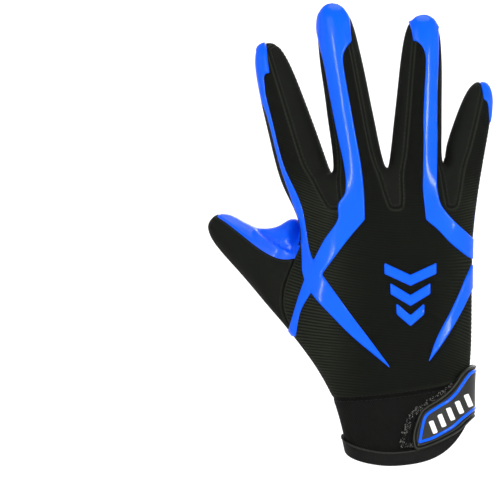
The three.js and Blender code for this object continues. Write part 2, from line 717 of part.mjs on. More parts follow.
const finish = (color, roughness) => new THREE.MeshStandardMaterial({ color, roughness, metalness: 0 });
const materials = {
  ribbedMesh: finish(0x1c1e19, 0.8),
  stretchFabric: finish(0x181a15, 0.75),
  coatedPalm: finish(0x0f5bf4, 0.25),
  cuffKnit: finish(0x1a1a1a, 0.9),
  bindingTape: finish(0x282828, 0.8),
  loopPile: finish(0x141414, 0.95),
  strapRubber: finish(0x1b1b1a, 0.5),
  raisedBlue: finish(0x145cfa, 0.3),
  strapWhite: finish(0xf0f0f0, 0.5),
};

const glove = new THREE.Group();
function addNode(name, geometry, material) {
  const mesh = new THREE.Mesh(geometry, material);
  mesh.name = name;
  glove.add(mesh);
}

const panels = [
  { name: "back_panel", tags: ["back_panel"], wall: meshWall, material: materials.ribbedMesh },
  { name: "palm_panel", tags: ["palm_panel"], wall: palmWall, material: materials.coatedPalm },
  { name: "thumb_back", tags: ["thumb_back"], wall: meshWall, material: materials.stretchFabric },
  { name: "fourchette_index_middle", tags: ["gap0"], wall: meshWall, material: materials.stretchFabric },
  { name: "fourchette_middle_ring", tags: ["gap1"], wall: meshWall, material: materials.stretchFabric },
  { name: "fourchette_ring_little", tags: ["gap2"], wall: meshWall, material: materials.stretchFabric },
  { name: "cuff_back", tags: ["cuff_back"], wall: cuffWall, material: materials.cuffKnit },
  { name: "cuff_palm", tags: ["cuff_palm"], wall: cuffWall, material: materials.cuffKnit },
];
for (const { name, tags, wall, material } of panels) {
  const quads = skin.quads.filter(({ panel }) => tags.includes(panel));
  addNode(name, sheet(skin, quads, -wall, 0, seamGap / 2), material);
}

// The binding: a U of tape over the hem, its legs along the skin
function bindingGeometry() {
  const rim = rimOf(skin.quads);
  const after = new Map(rim);
  const loop = [rim[0][0]];
  while (after.get(loop.at(-1)) !== loop[0]) loop.push(after.get(loop.at(-1)));
  const onRim = new Set(loop);
  const above = new Map();
  for (const { corners } of skin.quads)
    corners.forEach((a, i) => {
      for (const b of [corners[(i + 1) % 4], corners[(i + 3) % 4]])
        if (onRim.has(a) && !onRim.has(b)) above.set(a, b);
    });
  const inner = -cuffWall - layGap;
  const profile = [
    { height: layGap, up: bindingWidth },
    { height: layGap + bindingThickness, up: bindingWidth },
    { height: layGap + bindingThickness, up: -layGap - bindingThickness },
    { height: inner - bindingThickness, up: -layGap - bindingThickness },
    { height: inner - bindingThickness, up: bindingWidth },
    { height: inner, up: bindingWidth },
    { height: inner, up: -layGap },
    { height: layGap, up: -layGap },
  ];
  const positions = [];
  for (const a of loop) {
    const [p, q] = [skin.points[a], skin.points[above.get(a)]];
    const climb = q.clone().sub(p);
    const normalAt = (t) => skin.normals[a].clone().lerp(skin.normals[above.get(a)], t);
    for (const { height, up } of profile) {
      const t = up / climb.length();
      const normal = normalAt(Math.max(t, 0));
      positions.push(...p.clone().addScaledVector(climb, t).addScaledVector(normal, height));
    }
  }
  const size = profile.length;
  const corner = (i, j) => (i % loop.length) * size + (j % size);
  const triangles = [];
  for (let i = 0; i < loop.length; i++)
    for (let j = 0; j < size; j++) {
      const [a, b, c, d] = [corner(i, j), corner(i, j + 1), corner(i + 1, j + 1), corner(i + 1, j)];
      triangles.push(a, b, c, a, c, d);
    }
  return geometryFrom(positions, triangles);
}
addNode("cuff_binding", bindingGeometry(), materials.bindingTape);

// What lies on the cuff and wraps round the little finger's side
const lastWrapped = backShares.length - 1;
const firstWrapped = 3;
const isWrapped = ({ row, column }) => row <= 1 && column >= firstWrapped && column <= lastWrapped;
const wrapQuads = wristSkin.quads.filter(isWrapped);
const wrap = (from, to) => sheet(wristSkin, wrapQuads, from, to, 0);
const patchTop = layGap + patchThickness;
const strapBottom = Math.max(patchTop, layGap + bindingThickness) + layGap;
const strapTop = strapBottom + strapThickness;
const strapEdge = strapOutline.map(onWrist);
addNode("loop_patch", trimPiece(wrap(layGap, patchTop), [patchOutline.map(onWrist)]), materials.loopPile);
addNode("closure_strap", trimPiece(wrap(strapBottom, strapTop), [strapEdge]), materials.strapRubber);

const onStrap = wrap(strapTop + layGap, strapTop + layGap + strapTrimThickness);
const bluePath = strapLine.map(onWrist);
addNode("strap_outline", trimPiece(onStrap, [lineOutline(bluePath, strapLineWidth)]), materials.raisedBlue);

const slant = strapMarks.slant * degrees;
const alongMark = new THREE.Vector2(Math.sin(slant), Math.cos(slant)).multiplyScalar(strapMarkLength / 2);
const firstMark = onWrist({ x: strapMarks.x, up: strapMarks.up });
const lastMark = onWrist({ x: strapMarks.endX, up: strapMarks.endUp });
for (let i = 0; i < strapMarks.count; i++) {
  const middle = firstMark.clone().lerp(lastMark, i / (strapMarks.count - 1));
  const bar = lineOutline([middle.clone().sub(alongMark), middle.clone().add(alongMark)], strapMarkWidth);
  addNode("strap_mark_" + (i + 1), trimPiece(onStrap, [bar]), materials.strapWhite);
}

// The raised stripes and chevrons on the back
const trimQuads = skin.quads.filter(({ trim }) => trim);
const onBack = (thickness) => sheet(skin, trimQuads, layGap, layGap + thickness, 0);
const stripes = [
  { name: "overlay_radial", bands: [indexStripe, middleStripe] },
  { name: "overlay_ring", bands: [ringStripe] },
  { name: "overlay_ulnar", bands: [ulnarStripe] },
  { name: "overlay_little", bands: [littleStripe] },
];
for (const { name, bands } of stripes)
  addNode(name, trimPiece(onBack(overlayThickness), bands.map(stripeOutline)), materials.raisedBlue);

for (let i = 0; i < chevrons.count; i++) {
  const half = (chevronWidth + i * chevronGrowth) / 2;
  const tip = new THREE.Vector2(chevrons.x * palmWidth, chevrons.up * palmHeight + i * chevronPitch);
  const outline = [
    [-half, chevronRise + chevronArm],
    [-half, chevronRise],
    [0, 0],
    [half, chevronRise],
    [half, chevronRise + chevronArm],
    [0, chevronArm],
  ].map(([x, up]) => new THREE.Vector2(x, up).add(tip));
  addNode("chevron_" + (i + 1), trimPiece(onBack(chevronThickness), [outline]), materials.raisedBlue);
}

export default glove;
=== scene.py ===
import random
from math import atan2, ceil, cos, degrees, exp, pi, radians, sin

import bmesh
import bpy
import numpy as np
from mathutils import Matrix, Vector, noise
from mathutils.bvhtree import BVHTree
from mathutils.kdtree import KDTree


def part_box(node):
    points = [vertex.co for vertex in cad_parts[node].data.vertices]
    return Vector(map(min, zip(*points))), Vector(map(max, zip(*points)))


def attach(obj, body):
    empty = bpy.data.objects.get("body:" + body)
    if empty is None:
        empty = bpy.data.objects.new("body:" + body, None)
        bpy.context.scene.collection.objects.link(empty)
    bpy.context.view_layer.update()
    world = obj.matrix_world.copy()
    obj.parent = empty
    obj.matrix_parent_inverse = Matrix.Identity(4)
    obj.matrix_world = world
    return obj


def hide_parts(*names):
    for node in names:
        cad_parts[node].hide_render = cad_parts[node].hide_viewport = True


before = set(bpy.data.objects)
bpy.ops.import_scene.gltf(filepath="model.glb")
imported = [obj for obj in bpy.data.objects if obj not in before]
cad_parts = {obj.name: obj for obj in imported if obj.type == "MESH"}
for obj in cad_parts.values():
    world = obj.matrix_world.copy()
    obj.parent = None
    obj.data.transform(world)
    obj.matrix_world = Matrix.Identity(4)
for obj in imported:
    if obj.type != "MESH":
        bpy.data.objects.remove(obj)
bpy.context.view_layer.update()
mm = 0.001


# Materials

def linearColour(hexValue):
    channels = [((hexValue >> shift) & 255) / 255 for shift in (16, 8, 0)]
    return [c / 12.92 if c <= 0.04045 else ((c + 0.055) / 1.055) ** 2.4 for c in channels] + [1]


def addNode(tree, kind, settings=None, links=None):
    node = tree.nodes.new("ShaderNode" + kind)
    for name, value in (settings or {}).items():
        if isinstance(name, str) and hasattr(node, name):
            setattr(node, name, value)
        else:
            node.inputs[name].default_value = value
    for name, output in (links or {}).items():
        tree.links.new(output, node.inputs[name])
    return node


def startMaterial(name, settings):
    material = bpy.data.materials.new(name)
    material.use_nodes = True
    tree = material.node_tree
    tree.nodes.clear()
    shader = addNode(tree, "BsdfPrincipled", settings)
    addNode(tree, "OutputMaterial", links={"Surface": shader.outputs[0]})
    return material, tree, shader


def colourBetween(tree, share, low, high):
    colours = {6: linearColour(low), 7: linearColour(high)}
    return addNode(tree, "Mix", {"data_type": "RGBA", **colours}, {0: share}).outputs[2]


def bumpFrom(tree, height, depth, below=None):
    links = {"Height": height} if below is None else {"Height": height, "Normal": below}
    return addNode(tree, "Bump", {"Strength": 1.0, "Distance": depth * mm}, links).outputs[0]


def grainOf(tree, size, detail=3.0, roughness=0.55, stretch=(1, 1, 1)):
    place = addNode(tree, "TexCoord").outputs["Object"]
    scaled = addNode(tree, "Mapping", {"Scale": [s / (size * mm) for s in stretch]}, {"Vector": place})
    settings = {"Scale": 1.0, "Detail": detail, "Roughness": roughness}
    return addNode(tree, "TexNoise", settings, {"Vector": scaled.outputs[0]}).outputs[0]


def waveOf(tree, attribute):
    # the attribute counts the pattern's repeats, so its sine is one rib each
    count = addNode(tree, "Attribute", {"attribute_name": attribute}).outputs["Fac"]
    turned = addNode(tree, "Math", {"operation": "MULTIPLY", 1: 2 * pi}, {0: count}).outputs[0]
    wave = addNode(tree, "Math", {"operation": "SINE"}, {0: turned}).outputs[0]
    return addNode(tree, "MapRange", {"From Min": -1.0, "From Max": 1.0}, {"Value": wave}).outputs[0]


def scaledBy(tree, value, other):
    return addNode(tree, "Math", {"operation": "MULTIPLY"}, {0: value, 1: other}).outputs[0]


def seamShade(tree, colour, dark, light):
    # painted shade and highlight: a seam is painted as a dark line of shade in its groove between two paler
    # lines of painted highlight, where the cloth is pulled over its turned edge
    for attribute, shade in (("seamLight", light), ("seamDark", dark)):
        share = addNode(tree, "Attribute", {"attribute_name": attribute}).outputs["Fac"]
        mixed = {"data_type": "RGBA", 7: linearColour(shade)}
        colour = addNode(tree, "Mix", mixed, {0: share, 6: colour}).outputs[2]
    return colour


def ribbedMesh():
    # polyester rib knit, dull black: the rib crests are painted a little grey as painted highlight and the
    # grooves darker as painted shade, more so towards the sides
    look = {"groove": 0x080a07, "crest": 0x23261d, "ribDepth": 0.16, "thread": 0.35, "threadDepth": 0.05}
    start = {"Roughness": 0.85, "Specular IOR Level": 0.08}
    material, tree, shader = startMaterial("polyester_rib_knit", start)
    strength = addNode(tree, "Attribute", {"attribute_name": "ribStrength"}).outputs["Fac"]
    ribs = scaledBy(tree, waveOf(tree, "ribs"), strength)
    thread = grainOf(tree, look["thread"], 2.0)
    # painted highlight on the rib crests and painted shade in the grooves
    cloth = colourBetween(tree, ribs, look["groove"], look["crest"])
    # painted seam shade and painted highlight beside it
    tree.links.new(seamShade(tree, cloth, 0x030403, 0x23261f), shader.inputs["Base Color"])
    fine = bumpFrom(tree, thread, look["threadDepth"])
    tree.links.new(bumpFrom(tree, ribs, look["ribDepth"], fine), shader.inputs["Normal"])
    return material


def stretchFabric(name="nylon_stretch_jersey", low=0x080a07, high=0x12140f):
    # nylon and elastane jersey, smooth and dull with a soft sheen where it turns away
    look = {"thread": 0.4, "threadDepth": 0.05, "fold": 14.0, "foldDepth": 0.35}
    start = {"Roughness": 0.75, "Specular IOR Level": 0.09}
    material, tree, shader = startMaterial(name, start)
    thread = grainOf(tree, look["thread"], 2.0, stretch=(1, 1, 0.45))
    cloth = colourBetween(tree, thread, low, high)
    # painted seam shade and painted highlight beside it
    tree.links.new(seamShade(tree, cloth, 0x020302, 0x181b15), shader.inputs["Base Color"])
    fold = bumpFrom(tree, grainOf(tree, look["fold"], 1.0), look["foldDepth"])
    tree.links.new(bumpFrom(tree, thread, look["threadDepth"], fold), shader.inputs["Normal"])
    return material


def coatedPalm():
    # silicone-coated synthetic leather, tacky: a wet gloss over fine wrinkles, with broken highlights
    look = {"deep": 0x0548d4, "light": 0x0857ef, "wrinkle": 5.5, "wrinkleDepth": 0.22}
    grain = {"size": 0.9, "depth": 0.05}
    start = {"Roughness": 0.3, "Specular IOR Level": 0.16, "Coat Weight": 0.12, "Coat Roughness": 0.14}
    material, tree, shader = startMaterial("silicone_coated_leather", start)
    broad = grainOf(tree, 22.0, 2.0)
    tree.links.new(colourBetween(tree, broad, look["deep"], look["light"]), shader.inputs["Base Color"])
    wrinkle = bumpFrom(tree, grainOf(tree, look["wrinkle"], 4.0, 0.5, (1, 1, 0.6)), look["wrinkleDepth"])
    fine = bumpFrom(tree, grainOf(tree, grain["size"], 2.0), grain["depth"], wrinkle)
    tree.links.new(fine, shader.inputs["Normal"])
    tree.links.new(fine, shader.inputs["Coat Normal"])
    return material


def raisedPrint():
    # thick silicone ink, screen printed and cured: smooth and glossy, with speckled highlights
    look = {"deep": 0x0650e2, "light": 0x085af4, "speckle": 0.8, "speckleDepth": 0.022}
    start = {"Roughness": 0.14, "Specular IOR Level": 0.16}
    material, tree, shader = startMaterial("silicone_ink", start)
    broad = grainOf(tree, 18.0, 1.0)
    tree.links.new(colourBetween(tree, broad, look["deep"], look["light"]), shader.inputs["Base Color"])
    speckle = bumpFrom(tree, grainOf(tree, look["speckle"], 2.0), look["speckleDepth"])
    tree.links.new(speckle, shader.inputs["Normal"])
    return material


def cuffKnit():
    # twill-faced elastic knit: diagonal wales, lower left to upper right, with painted shade in the grooves
    # and painted highlight on the crests
    look = {"groove": 0x060706, "crest": 0x121311, "ribDepth": 0.12}
    start = {"Roughness": 0.85, "Specular IOR Level": 0.08}
    material, tree, shader = startMaterial("elastic_twill_knit", start)
    wales = waveOf(tree, "ribs")
    # painted highlight on the wale crests and painted shade in the grooves
    cloth = colourBetween(tree, wales, look["groove"], look["crest"])
    # painted seam shade and painted highlight beside it
    tree.links.new(seamShade(tree, cloth, 0x030303, 0x121311), shader.inputs["Base Color"])
    fine = bumpFrom(tree, grainOf(tree, 0.4, 2.0), 0.04)
    tree.links.new(bumpFrom(tree, wales, look["ribDepth"], fine), shader.inputs["Normal"])
    return material


def bindingTape(name, groove, crest):
    # folded polyester tape, a shade lighter than the cuff: flat, with fine cross ribs whose grooves carry
    # painted shade and whose crests carry painted highlight
    look = {"groove": groove, "crest": crest, "ribDepth": 0.05}
    start = {"Roughness": 0.72, "Specular IOR Level": 0.12}
    material, tree, shader = startMaterial(name, start)
    ribs = waveOf(tree, "ribs")
    # painted highlight on the rib crests and painted shade in the grooves
    tree.links.new(colourBetween(tree, ribs, look["groove"], look["crest"]), shader.inputs["Base Color"])
    fine = bumpFrom(tree, grainOf(tree, 0.5, 2.0), 0.04)
    tree.links.new(bumpFrom(tree, ribs, look["ribDepth"], fine), shader.inputs["Normal"])
    return material


def loopPile(name, shade, speck):
    # brushed nylon loops: near black, with pale specks painted in at random as painted highlights of the
    # loops that face the light
    start = {"Roughness": 0.65, "Specular IOR Level": 0.1}
    material, tree, shader = startMaterial(name, start)
    # painted highlight specks
    specks = addNode(
        tree, "MapRange", {"From Min": 0.62, "From Max": 0.75}, {"Value": grainOf(tree, 0.9, 2.0)}
    ).outputs[0]
    tree.links.new(colourBetween(tree, specks, shade, speck), shader.inputs["Base Color"])
    tree.links.new(bumpFrom(tree, grainOf(tree, 0.5), 0.2), shader.inputs["Normal"])
    return material


def strapRubber():
    # injection-moulded thermoplastic rubber: satin black with a darker border, and a soft grey highlight
    # painted along each ridge
    look = {"border": 0x050605, "field": 0x252624, "crest": 0x33342d}
    start = {"Roughness": 0.5, "IOR": 1.5, "Specular IOR Level": 0.16}
    material, tree, shader = startMaterial("moulded_rubber", start)
    inside = addNode(tree, "Attribute", {"attribute_name": "field"}).outputs["Fac"]
    share = addNode(tree, "MapRange", {"From Min": 3.0, "From Max": 3.8}, {"Value": inside}).outputs[0]
    ground = colourBetween(tree, share, look["border"], look["field"])
    # painted highlight along each ridge of the border
    crest = addNode(tree, "Attribute", {"attribute_name": "crest"}).outputs["Fac"]
    ridgeHighlight = addNode(tree, "Mix", {"data_type": "RGBA", 7: linearColour(look["crest"])}, {0: crest, 6: ground})
    tree.links.new(ridgeHighlight.outputs[2], shader.inputs["Base Color"])
    tree.links.new(bumpFrom(tree, grainOf(tree, 0.5, 2.0), 0.03), shader.inputs["Normal"])
    return material


def plainFinish(name, start, mottle, low, high, grain, depth):
    material, tree, shader = startMaterial(name, start)
    tree.links.new(colourBetween(tree, grainOf(tree, mottle), low, high), shader.inputs["Base Color"])
    tree.links.new(bumpFrom(tree, grainOf(tree, *grain), depth), shader.inputs["Normal"])
    return material


def whiteInk():
    # opaque white rubber ink: even and slightly chalky
    start = {"Roughness": 0.48, "IOR": 1.45}
    return plainFinish("white_rubber_ink", start, 1.5, 0xe9e9e9, 0xf7f7f7, (0.6, 2.0), 0.02)


def sewingThread(name, low, high):
    # spun polyester thread: a faint twist along each stitch
    start = {"Roughness": 0.6, "Specular IOR Level": 0.15}
    return plainFinish(name, start, 0.4, low, high, (0.25, 2.0), 0.04)


def studioPaper():
    # matt paper backdrop with the faintest tooth
    start = {"Roughness": 0.95, "Specular IOR Level": 0.1}
    return plainFinish("studio_paper", start, 60.0, 0xf6f6f6, 0xfbfbfb, (2.0,), 0.02)


ribKnit = ribbedMesh()
jersey = stretchFabric()
lining = stretchFabric("knit_backing", 0x0d0e0d, 0x191a18)
palmCoating = coatedPalm()
inkPrint = raisedPrint()
cuffCloth = cuffKnit()
tape = bindingTape("polyester_binding_tape", 0x080908, 0x0e0f0d)
pipingTape = bindingTape("polyester_piping", 0x20211f, 0x30312e)
pile = loopPile("nylon_loop_pile", 0x050505, 0x30302e)
# a lit copy of the loop pile: its pale colour is a painted highlight on the loops by the patch's edge
brightPile = loopPile("nylon_loops_in_the_light", 0x7c7c78, 0xe4e4de)
rubber = strapRubber()
strapInk = whiteInk()
blackThread = sewingThread("black_polyester_thread", 0x070807, 0x171815)
blueThread = sewingThread("blue_polyester_thread", 0x07318f, 0x1450c8)
print("materials ready")


# Mesh helpers

def meshFrom(bm, name):
    mesh = bpy.data.meshes.new(name)
    bm.normal_update()
    bm.to_mesh(mesh)
    bm.free()
    return mesh


def modified(mesh, kind, **settings):
    holder = bpy.data.objects.new("holder", mesh)
    bpy.context.collection.objects.link(holder)
    modifier = holder.modifiers.new("finish", kind)
    for name, value in settings.items():
        setattr(modifier, name, value)
    graph = bpy.context.evaluated_depsgraph_get()
    result = bpy.data.meshes.new_from_object(holder.evaluated_get(graph))
    bpy.data.objects.remove(holder)
    return result


def subdivided(mesh, levels, boundary="ALL"):
    sizes = {"levels": levels, "render_levels": levels, "use_limit_surface": False}
    return modified(mesh, "SUBSURF", boundary_smooth=boundary, **sizes)


def addPiece(name, mesh, materials, slot, replaces=(), sharp=50):
    for material in materials:
        mesh.materials.append(material)
    if "custom_normal" in mesh.attributes:
        mesh.attributes.remove(mesh.attributes["custom_normal"])
    mesh.polygons.foreach_set("use_smooth", [True] * len(mesh.polygons))
    mesh.set_sharp_from_angle(angle=radians(sharp))
    piece = bpy.data.objects.new(name, mesh)
    bpy.context.collection.objects.link(piece)
    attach(piece, "root")
    if replaces:
        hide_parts(*replaces)
    return piece


def addPattern(mesh, name, valueAt):
    layer = mesh.attributes.new(name, "FLOAT", "POINT")
    for vertex, entry in zip(mesh.vertices, layer.data):
        entry.value = valueAt(vertex.co, vertex.normal)


def addValues(mesh, name, values):
    mesh.attributes.new(name, "FLOAT", "POINT").data.foreach_set("value", values)


def seamVertices(mesh):
    # the vertices where the outer side turns into the cut edge
    sides = {}
    for polygon in mesh.polygons:
        for index in polygon.vertices:
            sides.setdefault(index, set()).add(polygon.material_index)
    outside = {outerSide, blackSide}
    return [mesh.vertices[i] for i, kinds in sides.items() if rimSide in kinds and kinds & outside]


def nearestTree(points):
    tree = KDTree(len(points))
    for index, point in enumerate(points):
        tree.insert(point, index)
    tree.balance()
    return tree


# Outlines in the glove's front view, in millimetres

hand = {"palmWidth": 92, "palmDepth": 32, "palmHeight": 133, "wristWidth": 64, "cuffHeight": 26}
fingers = {
    "index": {"rootX": -0.557, "rootUp": 0.99, "lean": -16.6, "length": 70.5, "width": 26},
    "middle": {"rootX": -0.26, "rootUp": 1, "lean": -9.5, "length": 86.8, "width": 24.5},
    "ring": {"rootX": 0.037, "rootUp": 1.01, "lean": 3.5, "length": 78.6, "width": 26},
    "little": {"rootX": 0.297, "rootUp": 1.06, "lean": 15, "length": 39.8, "width": 21.2},
}


def onFinger(name, along, across):
    finger = fingers[name]
    lean = radians(finger["lean"])
    up, wide = along * finger["length"], across * finger["width"] / 2
    x = finger["rootX"] * hand["palmWidth"] + up * sin(lean) + wide * cos(lean)
    z = finger["rootUp"] * hand["palmHeight"] + up * cos(lean) - wide * sin(lean)
    return Vector((x, z))


def onHand(x, up):
    return Vector((x * hand["palmWidth"], up * hand["palmHeight"]))


def onWrist(x, up):
    return Vector((x * hand["wristWidth"], up * hand["cuffHeight"]))


def curveThrough(points, closed, corner=38, steps=7):
    # Catmull-Rom through the points, with each turn above the corner angle kept sharp
    count = len(points)

    def at(index):
        return points[index % count] if closed else points[min(max(index, 0), count - 1)]

    def isCorner(index):
        into, out = at(index) - at(index - 1), at(index + 1) - at(index)
        return into.length < 1e-6 or out.length < 1e-6 or degrees(into.angle(out)) > corner

    smooth = []
    for i in range(count if closed else count - 1):
        start, end = at(i), at(i + 1)
        chord = (end - start).length
        tangents = []
        for index in (i, i + 1):
            if isCorner(index):
                tangents.append(end - start)
                continue
            through = at(index + 1) - at(index - 1)
            tangents.append(through.normalized() * chord)
        for step in range(steps):
            t = step / steps
            smooth.append(
                (2 * t**3 - 3 * t**2 + 1) * start + (t**3 - 2 * t**2 + t) * tangents[0]
                + (3 * t**2 - 2 * t**3) * end + (t**3 - t**2) * tangents[1]
            )
    return smooth if closed else smooth + [points[-1]]


def stripe(stretches):
    sides = {"left": [], "right": []}
    for stretch in stretches:
        on = stretch["on"]
        for edge, line in sides.items():
            for at, share in zip(stretch["at"], stretch[edge]):
                line.append(onHand(share, at) if on == "hand" else onFinger(on, at, share))
    return curveThrough(sides["left"] + sides["right"][::-1], True)


# A stripe's stretch goes along a finger in shares of its length, with edges in shares of its half width,
# or up the hand in shares of palmHeight, with edges in shares of palmWidth
indexStripe = [
    {"on": "index",
     "at": [1.2, 0.98, 0.87, 0.78, 0.783, 0.765, 0.71, 0.63, 0.48, 0.13],
     "left": [-2, -1.6, -1.4, -1.4, -1.4, -1.4, -1.4, -0.8, -0.745, -0.825],
     "right": [0.1, 0.01, -0.11, -0.185, -0.33, -0.43, -0.5, -0.575, -0.61, -0.69]},
    {"on": "hand",
     "at": [0.902, 0.833, 0.729, 0.677, 0.624, 0.555, 0.462, 0.391, 0.331, 0.274],
     "left": [-0.632, -0.602, -0.58, -0.578, -0.573, -0.53, -0.41, -0.307, -0.204, -0.103],
     "right": [-0.592, -0.565, -0.541, -0.517, -0.47, -0.399, -0.302, -0.224, -0.16, -0.1]},
]
middleStripe = [
    {"on": "middle",
     "at": [1.2, 0.97, 0.92, 0.89, 0.8, 0.762, 0.74, 0.71, 0.68, 0.62, 0.42, 0.25, 0.04],
     "left": [-2, -1.4, -1.0, -0.79, -0.77, -0.765, -0.76, -0.74, -0.725, -0.71, -0.7, -0.67, -0.62],
     "right": [0.3, 0.46, 0.61, 0.63, 0.565, 0.555, 0.36, 0.18, 0.085, 0.04, 0.04, 0.05, 0.06]},
    {"on": "hand",
     "at": [0.93, 0.885, 0.828, 0.757, 0.686, 0.624, 0.555, 0.485, 0.39],
     "left": [-0.345, -0.383, -0.386, -0.454, -0.508, -0.552, -0.59, -0.621, -0.66],
     "right": [-0.244, -0.242, -0.24, -0.327, -0.405, -0.47, -0.53, -0.585, -0.612]},
]
ringStripe = [
    {"on": "ring",
     "at": [1.2, 0.95, 0.92, 0.88, 0.83, 0.825, 0.8, 0.756, 0.7, 0.5, 0.34, 0.2, 0],
     "left": [-0.9, -0.55, -0.49, -0.42, -0.36, -0.22, -0.03, 0.105, 0.16, 0.16, 0.175, 0.23, 0.28],
     "right": [2, 1.4, 0.6, 0.61, 0.625, 0.63, 0.635, 0.64, 0.65, 0.665, 0.71, 0.77, 0.82]},
    {"on": "hand",
     "at": [0.942, 0.883, 0.828, 0.789, 0.75, 0.726, 0.68],
     "left": [0.074, 0.082, 0.09, 0.157, 0.21, 0.249, 0.35],
     "right": [0.154, 0.174, 0.237, 0.299, 0.37, 0.45, 0.45]},
]
ulnarStripe = [
    {"on": "hand",
     "at": [0.66, 0.598, 0.57, 0.49, 0.383, 0.298],
     "left": [0.345, 0.301, 0.284, 0.228, 0.146, 0.102],
     "right": [0.45, 0.4, 0.352, 0.291, 0.198, 0.105]},
]
littleStripe = [
    {"on": "little",
     "at": [1.2, 0.99, 0.916, 0.826, 0.79, 0.771, 0.71, 0.645, 0.562, 0.42],
     "left": [-0.4, -0.09, 0.06, 0.21, 0.28, 0.435, 0.57, 0.656, 0.77, 1],
     "right": [2, 2, 1.8, 1.6, 1.6, 1.6, 1.6, 1.6, 1.6, 1.6]},
]

strapEdge = [onWrist(x, up) for x, up in (
    (0.8, 1.75), (0.43, 1.4), (0.38, 1.3), (0.334, 1.13), (0.287, 0.985), (0.217, 0.84), (0.125, 0.695),
    (0.078, 0.595), (0.031, 0.295), (0.017, 0.09), (0.026, -0.1), (0.054, -0.15), (0.125, -0.105),
    (0.247, 0.025), (0.364, 0.195), (0.47, 0.44), (0.8, 0.8),
)]
strapLine = [onWrist(x, up) for x, up in (
    (0.8, 1.62), (0.46, 1.33), (0.387, 1.115), (0.347, 0.958), (0.287, 0.8), (0.206, 0.67),
    (0.125, 0.527), (0.101, 0.4), (0.07, 0.01), (0.159, 0.08), (0.247, 0.196), (0.311, 0.296),
    (0.387, 0.47), (0.49, 0.65), (0.8, 0.9),
)]
patchEdge = [onWrist(x, up) for x, up in (
    (0.38, 1.22), (0.27, 1.02), (0.09, 0.72), (-0.01, 0.5), (-0.033, 0.338), (-0.069, 0.127),
    (-0.08, -0.05), (-0.07, -0.13), (0.12, -0.03), (0.3, 0.2), (0.35, 0.3),
)]


def distanceToPath(points, path, closed):
    # each point's distance to a path of straight steps, positive inside where the path is closed
    ends = np.array([tuple(p) for p in path])
    start, end = (ends, np.roll(ends, -1, axis=0)) if closed else (ends[:-1], ends[1:])
    step = end - start
    lengths = np.maximum((step**2).sum(axis=1), 1e-12)
    away = np.empty(len(points))
    for first in range(0, len(points), 4000):
        part = points[first:first + 4000, None, :]
        share = np.clip(((part - start) * step).sum(axis=2) / lengths, 0, 1)
        gap = part - (start + share[..., None] * step)
        near = np.sqrt((gap**2).sum(axis=2)).min(axis=1)
        if closed:
            spans = (start[:, 1] > part[..., 1]) != (end[:, 1] > part[..., 1])
            rise = np.where(step[:, 1] == 0, 1e-12, step[:, 1])
            crossing = start[:, 0] + (part[..., 1] - start[:, 1]) * step[:, 0] / rise
            inside = (spans & (part[..., 0] < crossing)).sum(axis=1) % 2 == 1
            near = np.where(inside, near, -near)
        away[first:first + 4000] = near
    return away


# The sewn panels: cut from the frame's own walls, made finer and pulled in along their seams

panels = {
    "back_panel": {"wall": 1.2, "piece": "back_knit", "slot": "ribbed_mesh", "cloth": ribKnit},
    "palm_panel": {"wall": 1.4, "piece": "palm_leather", "slot": "coated_palm", "cloth": palmCoating},
    "thumb_back": {"wall": 1.2, "piece": "thumb_jersey", "slot": "stretch_fabric", "cloth": jersey},
}
for between in ("index_middle", "middle_ring", "ring_little"):
    look = {"wall": 1.2, "piece": "gusset_" + between, "slot": "stretch_fabric", "cloth": jersey}
    panels["fourchette_" + between] = look
for side in ("back", "palm"):
    look = {"wall": 2.0, "piece": "cuff_knit_" + side, "slot": "cuff_knit", "cloth": cuffCloth}
    panels["cuff_" + side] = look
gussets = [node for node in panels if node.startswith("fourchette")]
sewing = {
    "weld": 0.01, "seamMerge": 0.6, "cornerTurn": 40, "seamDepth": 0.42, "seamWidth": 0.85, "fill": 0.18,
    "waveSize": 17, "wave": 0.22, "reach": 0.9, "slit": 0.004, "footLow": 108, "footHigh": 150,
}
outerSide, innerSide, rimSide, blackSide = 0, 1, 2, 3


def quadCopy(node):
    bm = bmesh.new()
    bm.from_mesh(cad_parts[node].data)
    bmesh.ops.remove_doubles(bm, verts=bm.verts, dist=sewing["weld"] * mm)
    for bend in (60, 180):  # first the flat pairs, then what is left of the twisted ones
        left = [f for f in bm.faces if len(f.verts) == 3]
        bmesh.ops.join_triangles(bm, faces=left, angle_face_threshold=radians(bend), angle_shape_threshold=pi)
    return bm


def sortWall(bm, wall):
    # a rim face has two opposite edges as long as the wall is thick
    across = {e for e in bm.edges if abs(e.calc_length() - wall * mm) < 0.002 * mm}

    def isRim(face):
        edges = face.edges
        return len(edges) == 4 and any(edges[i] in across and edges[i + 2] in across for i in (0, 1))

    for face in bm.faces:
        face.material_index = rimSide if isRim(face) else innerSide
    groups = []
    waiting = {f for f in bm.faces if f.material_index == innerSide}
    while waiting:
        group, edge = [], [waiting.pop()]
        while edge:
            face = edge.pop()
            group.append(face)
            beside = {f for e in face.edges for f in e.link_faces if f in waiting}
            waiting -= beside
            edge.extend(beside)
        groups.append(group)
    for face in max(groups, key=lambda g: sum(f.calc_area() for f in g)):
        face.material_index = outerSide


def keepRimSharp(bm):
    crease = bm.edges.layers.float.new("crease_edge")
    corner = bm.verts.layers.float.new("crease_vert")
    border = {e for e in bm.edges if len({f.material_index for f in e.link_faces}) > 1}
    for edge in border:
        edge[crease] = 1
    for vert in {v for e in border for v in e.verts}:
        if sewing["footLow"] * mm < vert.co.z < sewing["footHigh"] * mm:
            continue  # the feet of the gussets are rounded
        ways = [e.other_vert(vert).co - vert.co for e in vert.link_edges if e in border]
        if len(ways) == 2 and 180 - degrees(ways[0].angle(ways[1])) > sewing["cornerTurn"]:
            vert[corner] = 1


def clothWave(point):
    return sewing["wave"] * noise.noise(point / (sewing["waveSize"] * mm)) + sewing["fill"]


